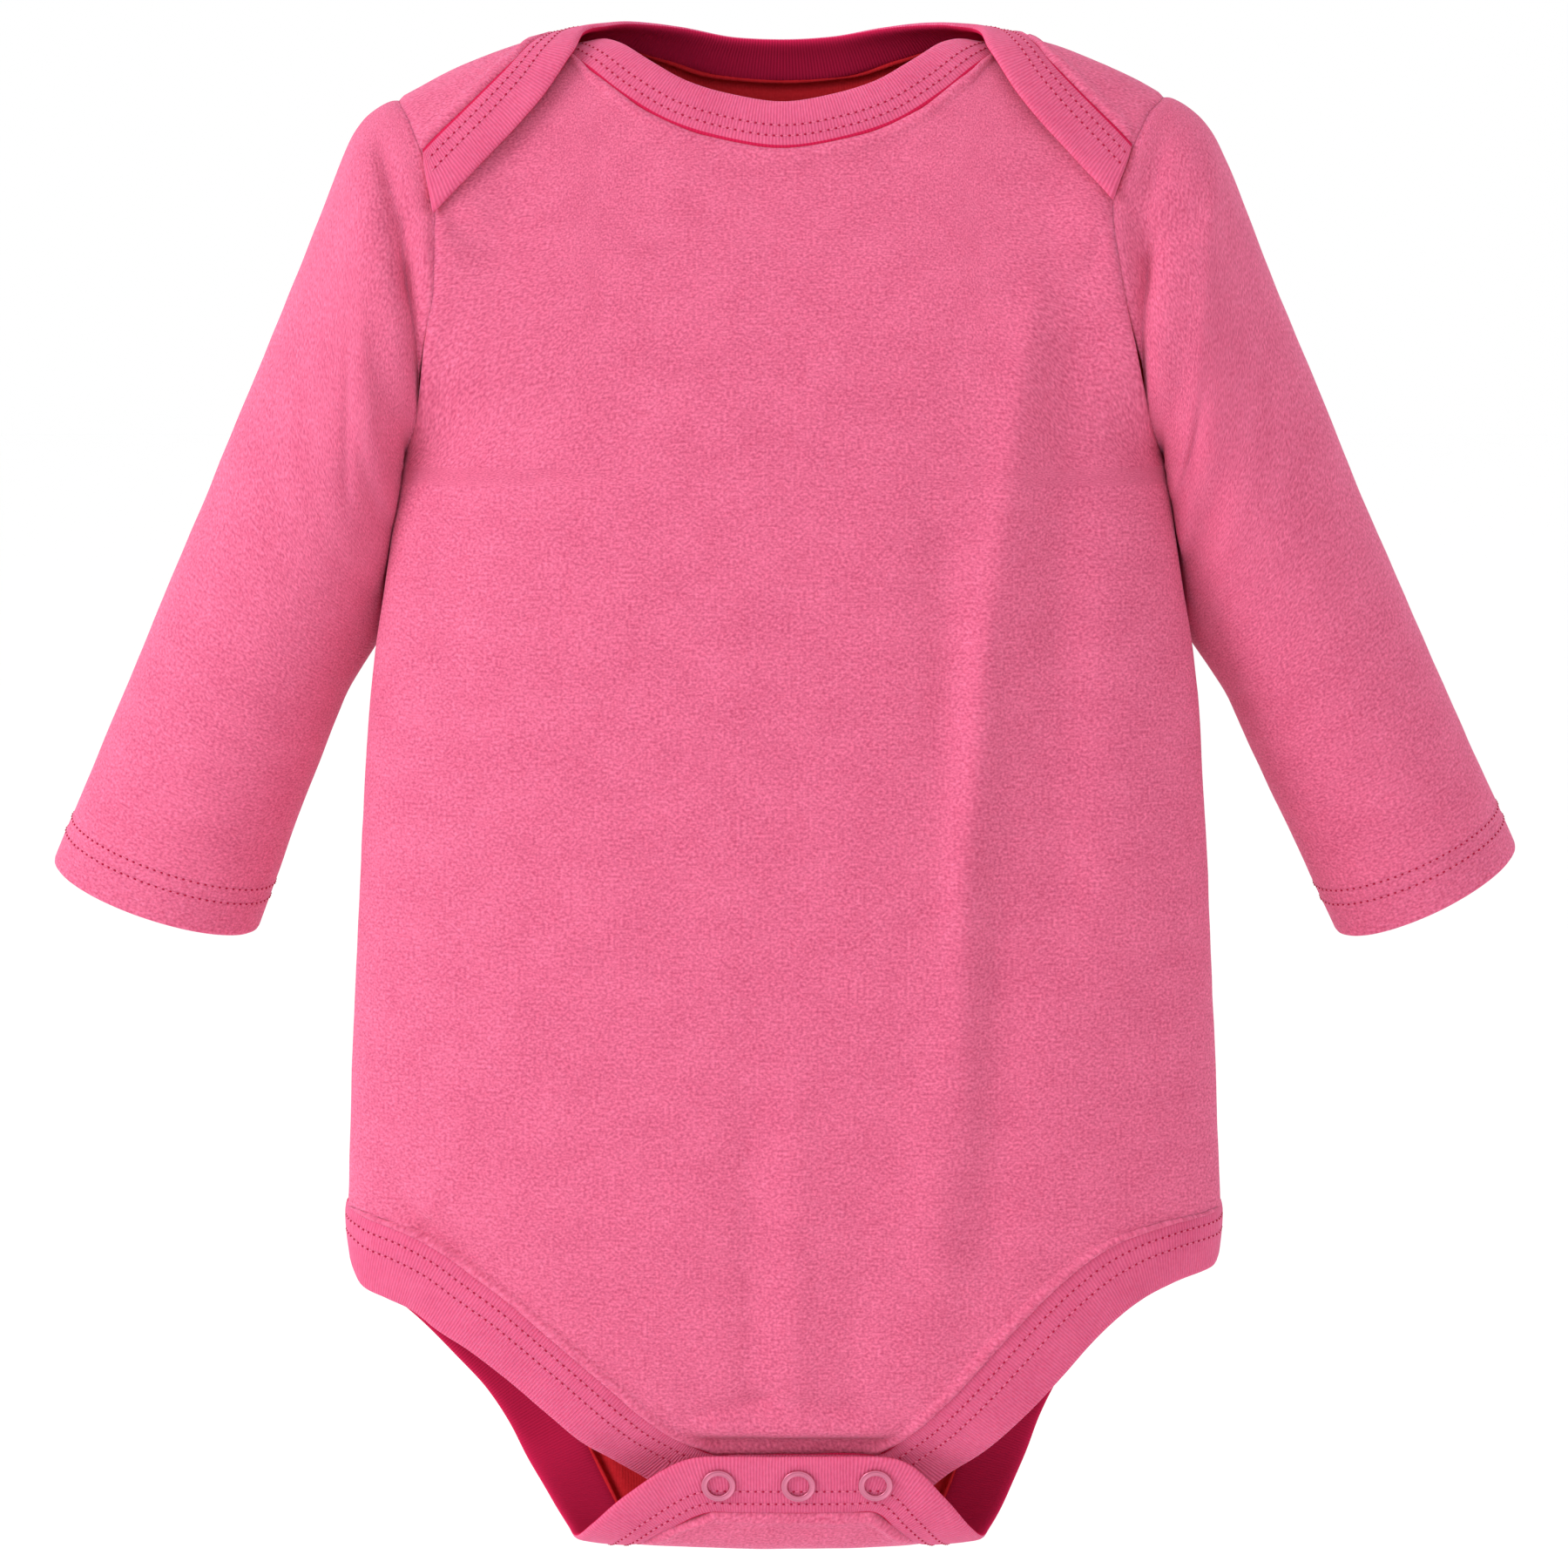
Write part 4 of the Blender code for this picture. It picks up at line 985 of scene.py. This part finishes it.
def edge_frames(surface, stations, side, place_step):
    """For each station of an edge: its point, the way along, the way out on one side, the normal."""
    seam = [surface(*station) for station in stations]
    last = len(stations) - 1
    frames = []
    for number, station in enumerate(stations):
        along = (seam[min(number + 1, last)] - seam[max(number - 1, 0)]).normalized()
        normal = normal_at(surface, *station, place_step)
        frames.append((seam[number], along, along.cross(normal).normalized() * side, normal))
    return frames


def strip_shares(width):
    """Shares of a strip's width for the lines along it, from under the panel's edge to the fold."""
    start = -(BINDING_GAP + SEAM_LAP) / width
    return [start + (1.0 - start) * cell / STRIP_CELLS for cell in range(STRIP_CELLS + 1)]


def smooth_way(before, here, there):
    """The way through a point of a curve, for one metre, from its neighbours on both sides."""
    run_in = max((here - before).length, 0.0001)
    run_out = max((there - here).length, 0.0001)
    way_in = (here - before) / run_in
    way_out = (there - here) / run_out
    return (way_in * run_out + way_out * run_in) / (run_in + run_out)


def smooth_lines(lines):
    """The lines across a strip, run together on smooth curves and cut at even steps."""
    last = len(lines) - 1
    smooth = []
    for number in range(last):
        start, end = lines[number], lines[number + 1]
        flat_start = [2.0 * here - there for here, there in zip(start, end)]
        flat_end = [2.0 * there - here for here, there in zip(start, end)]
        before = lines[number - 1] if number > 0 else flat_start
        after = lines[number + 2] if number + 2 <= last else flat_end
        longest = max((there - here).length for here, there in zip(start, end))
        steps = max(round(longest / STRIP_STEP), 1)
        for step in range(steps + (number == last - 1)):
            share = step / steps
            square = share * share
            cube = square * share
            cut = []
            for was, here, there, then in zip(before, start, end, after):
                run = (there - here).length
                cut.append(
                    here * (2 * cube - 3 * square + 1)
                    + smooth_way(was, here, there) * run * (cube - 2 * square + share)
                    + there * (3 * square - 2 * cube)
                    + smooth_way(here, there, then) * run * (cube - square)
                )
            smooth.append(cut)
    return smooth


class Strip:
    """A folded rib strip: its middle layer as lines across it, and its two faces about that."""

    def __init__(self, lines, side):
        self.lines = smooth_lines(lines)
        self.side = side
        self.last = len(self.lines) - 1
        middle = [line[STRIP_CELLS // 2] for line in self.lines]
        self.lengths = Panel.runs(middle)
        self.width = Panel.runs(self.lines[self.last // 2])[-1]

    def middle(self, cut, share):
        """A point of the strip's middle layer and its normal."""
        place = min(max(share, 0.0), 1.0) * STRIP_CELLS
        cell = min(int(place), STRIP_CELLS - 1)
        line = self.lines[cut]
        point = line[cell].lerp(line[cell + 1], place - cell)
        near = min(max(round(place), 1), STRIP_CELLS - 1)
        outward = line[near + 1] - line[near - 1]
        before = self.lines[max(cut - 1, 0)][near]
        after = self.lines[min(cut + 1, self.last)][near]
        normal = outward.cross(after - before).normalized() * self.side
        return point, normal

    def face(self, cut, share, sign):
        """A point of the outer (sign 1) or inner (sign -1) face, round at both edges."""
        point, normal = self.middle(cut, share)
        power = SEWN_POWER if share < 0.5 and sign > 0.0 else FOLD_POWER
        fullness = math.sqrt(max(1.0 - abs(2.0 * share - 1.0) ** power, 0.0))
        waviness = unevenness(point) * share
        return point + normal * (sign * fullness * BINDING / 2.0 + waviness)

    def lay(self):
        shares = list(SECTION_SHARES) + list(SECTION_SHARES[-2::-1])
        turn = len(SECTION_SHARES) - 1

        def place(column, row):
            return self.face(column, shares[row], 1.0 if row <= turn else -1.0)

        def measure(column, row):
            sign = 1.0 if row <= turn else -1.0
            return self.lengths[column], sign * shares[row] * self.width

        def relief(point, column, row):
            return 0.0

        tube = lay_cloth(self.last, len(shares) - 1, place, measure, relief, 1.0, closed=True)
        marks = tube.loops.layers.uv.verify()
        # Faces on the inner side and along the sewn edge take the second material, the painted shade.
        for face in tube.faces:
            depths = [loop[marks].uv.y for loop in face.loops]
            if min(depths) < INNER_FROM or max(depths) < SEWN_SHADE_WIDTH:
                face.material_index = 1
        ends = [edge for edge in tube.edges if edge.is_boundary]
        bmesh.ops.holes_fill(tube, edges=ends, sides=0)
        bmesh.ops.recalc_face_normals(tube, faces=tube.faces)
        return tube


def hem_lines(surface, stations, side, end_widths):
    """Lines across a leg binding, its ends hanging straight down at the side seams."""
    last = len(stations) - 1
    right, left = end_widths
    even = (HEM_WIDTH,) * (len(stations) - len(right) - len(left))
    widths = right + even + left[::-1]
    lines = []
    for number, (seam, _, outward, normal) in enumerate(edge_frames(surface, stations, side, 0.1)):
        if number in (0, last):
            outward = Vector((0.0, 0.0, -1.0))
            normal = Vector((math.copysign(1.0, seam.x), 0.0, 0.0))
        width = widths[number]
        shares = strip_shares(width)
        lines.append([lay_straight(seam, outward, normal, width, share) for share in shares])
    return lines


# Cotton rib: close wales from the seam to the fold, with painted shade in the grooves between them,
# coloured a deeper pink.
rib = Finish("rib", COTTON)
along_strip, across_strip = rib.along_and_across()
wander = rib.noise(along_strip, across_strip, 0.0040, 0.0060, 2.0)
wales = (along_strip + wander * 0.0005).wave(RIB_PITCH)
flecks = rib.noise(along_strip, across_strip, 0.0009, 0.0012, 2.0)
shades = rib.noise(along_strip, across_strip, 0.0150, 0.0080, 2.0)
# The grooves between the wales are coloured deeper: painted shade, on top of the rib's random flecks and
# tone.
rib.colour(rib.blend(wales * 0.35 + flecks * 0.5 + shades * 0.4 - 0.10, RIB_DEEP, RIB_PALE))
rib.bump(wales * 0.16 + flecks * 0.08, 0.8)

# The faces of the bindings towards the inside and along their sewn edges, painted a deep crimson as shade
# instead of the rib's own pink.
RIB_SHADE_COLOUR = (0.560, 0.016, 0.075, 1.0)
rib_painted_shade = Finish("rib_painted_shade", {"Base Color": RIB_SHADE_COLOUR, "Roughness": 0.95, "Specular IOR Level": 0.0})
along_inside, _ = rib_painted_shade.along_and_across()
rib_painted_shade.bump(along_inside.wave(RIB_PITCH) * 0.14, 0.8)

front_edge = hem_stations(FRONT_WALL, FRONT_LEG_ROW, FRONT_END_ROW)
back_edge = hem_stations(BACK_WALL, BACK_LEG_ROW, BACK_END_ROW)


def hang_binding(name, strip, node):
    return hang_up(name, strip.lay(), (rib.material, rib_painted_shade.material), node)


front_hem = Strip(hem_lines(front_round, front_edge, 1.0, FRONT_HEM_WIDTHS), 1.0)
back_hem = Strip(hem_lines(back_round, back_edge, -1.0, BACK_HEM_WIDTHS), -1.0)
front_hem_rib = hang_binding("front_hem_rib", front_hem, "hem_binding_front")
back_hem_rib = hang_binding("back_hem_rib", back_hem, "hem_binding_back")

# ---------------------------------------------------------------------------------------------
# Neck bindings. The same folded rib round the neckline: one strip on the front, from armhole to
# armhole over its wings, and one on the back along its flaps. The back's lies over the front's at
# the shoulders, and both end in the armhole seams.

FRONT_NECK_WIDTH = 0.0132
BACK_NECK_WIDTH = 0.0140
NECK_END_SLANTS = (0.0080, 0.0058)  # how far the folded edges run on at the ends, right and left
COLUMN_SHARES = (0.0, 0.17, 0.33, 0.45, 0.535, 0.60, 0.665, 0.74, 0.82, 0.895, 0.95, 0.987, 1.0)
STEP_CELLS = 3  # steps that a strip is laid out in


def neck_stations(neck):
    """The panel's upper edge from armhole to armhole."""
    shares = [-share for share in COLUMN_SHARES[:0:-1]] + list(COLUMN_SHARES)
    return [(across, neck_turn(neck, across)) for across in shares]


def step_out(surface, start, direction, distance, place_step):
    """Points laid out along the surface in a direction, one for each step across a strip."""
    across, place = start
    point = surface(across, place)
    points = []
    for _ in range(STEP_CELLS):
        nudge = -NUDGE if across > 0.0 else NUDGE
        by_across = (surface(across + nudge, place) - point) / nudge
        by_place = (surface(across, place + place_step) - point) / place_step
        wanted = direction * (distance / STEP_CELLS)
        square_a = by_across.dot(by_across)
        square_p = by_place.dot(by_place)
        mixed = by_across.dot(by_place)
        want_a = by_across.dot(wanted)
        want_p = by_place.dot(wanted)
        determinant = square_a * square_p - mixed * mixed
        across += (want_a * square_p - want_p * mixed) / determinant
        place += (want_p * square_a - want_a * mixed) / determinant
        following = surface(across, place)
        direction = (following - point).normalized()
        point = following
        points.append(point)
    return points


def neck_lines(surface, stations, side, width):
    """Lines across a neck binding, laid out along the surface from the panel's neck edge."""
    last = len(stations) - 1
    lines = []
    for number, frame in enumerate(edge_frames(surface, stations, side, 1.0)):
        seam, along, outward, _ = frame
        end_share = 2.0 * number / last - 1.0
        slant = NECK_END_SLANTS[0] if end_share < 0.0 else -NECK_END_SLANTS[1]
        lean = along * -slant * smoothstep(abs(end_share), 0.84, 1.0)
        laid = step_out(surface, stations[number], outward, width, 1.0)
        knots = [seam + outward * BINDING_GAP]
        knots += [point + lean * cell / STEP_CELLS for cell, point in enumerate(laid, start=1)]
        line = []
        for share in strip_shares(width):
            place = share * STEP_CELLS
            cell = min(max(int(place), 0), STEP_CELLS - 1)
            line.append(knots[cell].lerp(knots[cell + 1], place - cell))
        lines.append(line)
    return lines


front_neck = Strip(
    neck_lines(lapped_arch, neck_stations(FRONT_NECK), -1.0, FRONT_NECK_WIDTH), -1.0
)
back_neck = Strip(neck_lines(arch_point, neck_stations(BACK_NECK), 1.0, BACK_NECK_WIDTH), 1.0)
front_neck_rib = hang_binding("front_neck_rib", front_neck, "neck_binding_front")
back_neck_rib = hang_binding("back_neck_rib", back_neck, "neck_binding_back")

# ---------------------------------------------------------------------------------------------
# Twin stitching. Two rows of pink cotton stitches hold each binding's and each cuff's layers
# together. Each stitch is a short thread sunk halfway into the cloth.

STITCH_PITCH = 0.0021
STITCH_LENGTH = 0.0016
STITCH_RADIUS = 0.00022
# The needle holes are dark beads of painted shade, for the dips where the thread goes into the cloth.
HOLE_LENGTH, HOLE_RADIUS = 0.00080, 0.00032
THREAD_COLOUR = (0.700, 0.110, 0.230, 1.0)
HOLE_SHADE_COLOUR = (0.380, 0.012, 0.050, 1.0)

thread = Finish("thread", {"Base Color": THREAD_COLOUR, "Roughness": 0.6, "Sheen Weight": 0.2})
# The needle holes' material: a deep red painted shade.
needle_hole_shade = Finish(
    "needle_hole_shade", {"Base Color": HOLE_SHADE_COLOUR, "Roughness": 1.0, "Specular IOR Level": 0.0}
)

bead = bmesh.new()
bmesh.ops.create_uvsphere(bead, u_segments=6, v_segments=4, radius=1.0)
bead_points = [vert.co.copy() for vert in bead.verts]
bead_faces = [[vert.index for vert in face.verts] for face in bead.faces]
bead.free()


class Sewing:
    """Stitches and needle holes, the holes dark beads of painted shade, gathered into one mesh."""

    def __init__(self):
        self.points = []
        self.faces = []
        self.kinds = []

    def add(self, centre, along, normal, length, radius, kind):
        """One thread or hole: a bead drawn out along the seam, sunk halfway into the cloth."""
        along = (along - normal * along.dot(normal)).normalized()
        across = normal.cross(along)
        first = len(self.points)
        for point in bead_points:
            drawn = along * (point.x * length / 2.0) + (across * point.y + normal * point.z) * radius
            self.points.append(centre + drawn)
        self.faces += [[first + number for number in face] for face in bead_faces]
        self.kinds += [kind] * len(bead_faces)

    def finish(self, name):
        mesh = bpy.data.meshes.new(name + "_threads")
        mesh.from_pydata(self.points, [], self.faces)
        mesh.polygons.foreach_set("material_index", self.kinds)
        cloth = bmesh.new()
        cloth.from_mesh(mesh)
        bpy.data.meshes.remove(mesh)
        return hang_up(name, cloth, (thread.material, needle_hole_shade.material), None)


def stitch_rows(name, rows_of_points):
    """Stitches at even steps along lines of (point, normal) pairs, a needle hole of painted shade between
    each two.
    """
    sewing = Sewing()
    for line in rows_of_points:
        wanted = STITCH_PITCH / 2.0
        walked = 0.0
        for (before, _), (after, normal) in zip(line, line[1:]):
            step = after - before
            while wanted <= walked + step.length:
                centre = before + step * ((wanted - walked) / step.length)
                way = step.normalized()
                sewing.add(centre, way, normal, STITCH_LENGTH, STITCH_RADIUS, 0)
                hole = centre + way * (STITCH_PITCH / 2.0)
                sewing.add(hole, way, normal, HOLE_LENGTH, HOLE_RADIUS, 1)
                wanted += STITCH_PITCH
            walked += step.length
    return sewing.finish(name)


def strip_rows(strip, distances):
    """Lines of points and normals along a strip's outer face, at distances from its sewn edge."""
    lines = []
    for distance in distances:
        share = (distance + SEAM_LAP) / strip.width
        line = []
        for cut in range(2, strip.last - 1):
            _, normal = strip.middle(cut, share)
            line.append((strip.face(cut, share, 1.0), normal))
        lines.append(line)
    return lines


def cuff_rows(pose, distances):
    """The same round a sleeve, at distances from the cuff's edge."""
    lines = []
    last = len(SLEEVE) - 1
    for distance in distances:
        place = last - distance / CUFF_ROW_LENGTH
        line = []
        for step in range(121):
            turn = 3.0 * step
            point = sleeve_point(pose, turn, place)
            along = sleeve_point(pose, turn, place + 0.1) - point
            round_way = sleeve_point(pose, turn + 2.0, place) - point
            normal = along.cross(round_way).normalized() * pose.side
            line.append((point + normal * (JERSEY / 2.0) + normal * unevenness(point), normal))
        lines.append(line)
    return lines


CUFF_ROW_LENGTH = 0.0148  # length of the sleeve's last row
TWIN_AT = (0.0030, 0.0060)  # distances of the two rows from a neck binding's seam
TWIN_AT_LEG = (0.0029, 0.0068)
TWIN_AT_CUFF = (0.0098, 0.0142)

neck_stitches_front = stitch_rows("neck_stitches_front", strip_rows(front_neck, TWIN_AT))
neck_stitches_back = stitch_rows("neck_stitches_back", strip_rows(back_neck, TWIN_AT))
hem_stitches_front = stitch_rows("hem_stitches_front", strip_rows(front_hem, TWIN_AT_LEG))
hem_stitches_back = stitch_rows("hem_stitches_back", strip_rows(back_hem, TWIN_AT_LEG))
cuff_stitches = [
    stitch_rows(pose.name + "_stitches", cuff_rows(pose, TWIN_AT_CUFF)) for pose in SLEEVE_POSES
]

# ---------------------------------------------------------------------------------------------
# Snaps. Three ring snaps of satin nickel fasten the flap over the tab. Each is an open prong ring
# and a socket on the flap, and a stud and a prong ring on the tab, pressed through the rib.

SNAP_X = (-0.0180, 0.0039, 0.0251)
SNAP_NAMES = ("right", "middle", "left")
PACKED_BINDING = 0.0024
FLAP_TO_TAB = 0.0057  # between the middles of the two layers
SNAP_RADIUS = 0.0047
SOCKET_HOLE = 0.0024
SOCKET_HEIGHT = 0.0010
STUD_BASE = 0.0005
STUD_POST = 0.0019
SNAP_GAP = 0.0007
RING_STEPS = 48
RING_LIFT = 0.0003  # the rings lie on the strip
SEAM_TUCK = 0.0004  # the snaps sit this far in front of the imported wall
SOCKET_CORNER = 0.00025
CORNER_CUT = 0.3  # share of a corner's radius that its middle point is drawn in
STUD_NECK = 0.0003
STUD_EDGE = 0.0002
# The nickel is given a pink colour: a painted reflection of the pink cloth round the snaps.
NICKEL_PAINTED_PINK = (0.60, 0.18, 0.28, 1.0)

nickel = Finish("satin_nickel_painted_pink", {"Base Color": NICKEL_PAINTED_PINK, "Metallic": 1.0, "Roughness": 0.30})
place_on_snap = nickel.node("ShaderNodeTexCoord", {}, {}, output=3)
brushing = nickel.node("ShaderNodeTexNoise", {}, {"Vector": place_on_snap, "Scale": 1800.0, "Detail": 2.0})
nickel.fill(nickel.shader.inputs["Roughness"], brushing * 0.25 + 0.20)


# The prong ring's section, as shares of the snap's radius and heights: a bead round its outer edge, a
# shallow channel and a lower bead round the hole.
PRONG_RING = (
    (1.00, -0.00030), (1.00, 0.00010), (0.975, 0.00030), (0.93, 0.00030), (0.905, 0.00010),
    (0.80, 0.00002), (0.73, 0.00005), (0.71, 0.00022), (0.67, 0.00022), (0.65, 0.00005),
    (0.65, -0.00030),
)


def turn_piece(name, section, closed, centre, normal, node):
    """A turned metal piece: a section of (radius, height) points spun round the snap's axis."""
    piece = bmesh.new()
    verts = [piece.verts.new((radius, 0.0, height)) for radius, height in section]
    edges = [piece.edges.new(pair) for pair in zip(verts, verts[1:])]
    if closed:
        edges.append(piece.edges.new((verts[-1], verts[0])))
    bmesh.ops.spin(
        piece,
        geom=verts + edges,
        axis=(0.0, 0.0, 1.0),
        cent=(0.0, 0.0, 0.0),
        angle=2.0 * math.pi,
        steps=RING_STEPS,
        use_merge=True,
    )
    bmesh.ops.remove_doubles(piece, verts=piece.verts, dist=0.000005)
    bmesh.ops.recalc_face_normals(piece, faces=piece.faces)
    turned = normal.to_track_quat("Z", "Y").to_matrix().to_4x4()
    bmesh.ops.transform(piece, matrix=Matrix.Translation(centre) @ turned, verts=piece.verts)
    return hang_up(name, piece, (nickel.material,), node)


def rounded(section, radius):
    """The section with each of its corners cut to three points."""
    soft = []
    for number, corner in enumerate(section):
        corner = Vector(corner)
        before = Vector(section[number - 1]) - corner
        after = Vector(section[(number + 1) % len(section)]) - corner
        cut = [corner + way.normalized() * min(radius, way.length / 3.0) for way in (before, after)]
        drawn = radius * CORNER_CUT
        soft += [cut[0], corner + after.normalized() * drawn + before.normalized() * drawn, cut[1]]
    return [tuple(point) for point in soft]


for snap_name, snap_x in zip(SNAP_NAMES, SNAP_X):
    row = BACK_WALL[BACK_END_ROW]
    share = round_share(row, snap_x - row.shift)
    seam = back_round(share, BACK_END_ROW)
    seam.y -= SEAM_TUCK
    normal = normal_at(back_round, share, BACK_END_ROW, 0.1)
    upward = normal.cross(Vector((1.0, 0.0, 0.0))).normalized()
    low = lay_straight(seam, upward, normal, HEM_WIDTH, 1.0 / 3.0)
    high = lay_straight(seam, upward, normal, HEM_WIDTH, 2.0 / 3.0)
    centre = low.lerp(high, 0.5)
    normal = (high - low).cross(Vector((-1.0, 0.0, 0.0))).normalized()
    half = PACKED_BINDING / 2.0 + SNAP_GAP
    ring = [(SNAP_RADIUS * share, height) for share, height in PRONG_RING]
    turn_piece(
        "ring_" + snap_name, ring, True, centre + normal * (BINDING / 2.0 + RING_LIFT), normal,
        "snap_ring_" + snap_name,
    )
    inner, outer = SOCKET_HOLE, SNAP_RADIUS
    socket = ((outer, SOCKET_HEIGHT), (outer, 0.0), (inner, 0.0), (inner, SOCKET_HEIGHT))
    turn_piece(
        "socket_" + snap_name, rounded(socket, SOCKET_CORNER), True,
        centre - normal * (half + SOCKET_HEIGHT), normal, "snap_socket_" + snap_name,
    )
    post = inner - SNAP_GAP
    stud = (
        (0.0, STUD_POST),
        (post * 0.8, STUD_POST),
        (post, STUD_POST - STUD_NECK),
        (post * 0.9, STUD_BASE + STUD_NECK),
        (post, STUD_BASE),
        (outer - STUD_EDGE, STUD_BASE),
        (outer, STUD_BASE - STUD_EDGE),
        (outer, 0.0),
        (0.0, 0.0),
    )
    turn_piece(
        "stud_" + snap_name, stud, False, centre - normal * (FLAP_TO_TAB - half), normal,
        "snap_stud_" + snap_name,
    )
    turn_piece(
        "back_ring_" + snap_name, ring, True,
        centre - normal * (FLAP_TO_TAB + BINDING / 2.0 + RING_LIFT), normal,
        "snap_back_ring_" + snap_name,
    )

# ---------------------------------------------------------------------------------------------
# The studio: a pale floor well below the garment, even white surroundings, one soft light from
# the front, up on the wearer's right, and the camera level with the chest.

FLOOR_Z = -0.6000
FLOOR_COLOUR = (1.0, 1.0, 1.0, 1.0)
CAMERA_AIM = Vector((0.0, 0.0, -0.2080))
CAMERA_DISTANCE = 1.5
CAMERA_ELEVATION = math.radians(6.0)
CAMERA_LENS = 125.0  # mm on a sensor 36 mm wide
LIGHT_PLACE = Vector((-1.90, -1.10, 0.65))
LIGHT_SIZE = 1.1
LIGHT_POWER = 30.0
WORLD_COLOUR = (1.0, 1.0, 1.0, 1.0)

floor_paint = Finish("floor_paint", {"Base Color": FLOOR_COLOUR, "Roughness": 0.9})
floor_mesh = bmesh.new()
bmesh.ops.create_grid(
    floor_mesh, x_segments=1, y_segments=1, size=12.0, matrix=Matrix.Translation((0.0, 0.0, FLOOR_Z))
)
floor_data = bpy.data.meshes.new("floor")
floor_mesh.to_mesh(floor_data)
floor_mesh.free()
floor_data.materials.append(floor_paint.material)
floor = bpy.data.objects.new("floor", floor_data)
bpy.context.scene.collection.objects.link(floor)

world = bpy.data.worlds.new("white_studio")
world.use_nodes = True
world.node_tree.nodes["Background"].inputs["Color"].default_value = WORLD_COLOUR
world.node_tree.nodes["Background"].inputs["Strength"].default_value = 1.0
bpy.context.scene.world = world

soft_light = bpy.data.lights.new("soft_light", "AREA")
soft_light.size = LIGHT_SIZE
soft_light.energy = LIGHT_POWER
soft_box = bpy.data.objects.new("soft_light", soft_light)
soft_box.location = LIGHT_PLACE
soft_box.rotation_euler = (CAMERA_AIM - LIGHT_PLACE).to_track_quat("-Z", "Y").to_euler()
bpy.context.scene.collection.objects.link(soft_box)

camera = bpy.data.objects.new("camera", bpy.data.cameras.new("camera"))
camera.data.lens = CAMERA_LENS
camera.data.sensor_width = 36.0
camera.location = CAMERA_AIM + CAMERA_DISTANCE * Vector(
    (0.0, -math.cos(CAMERA_ELEVATION), math.sin(CAMERA_ELEVATION))
)
camera.rotation_euler = (math.pi / 2.0 - CAMERA_ELEVATION, 0.0, 0.0)
bpy.context.scene.collection.objects.link(camera)
bpy.context.scene.camera = camera
bpy.context.scene.view_settings.view_transform = "Standard"
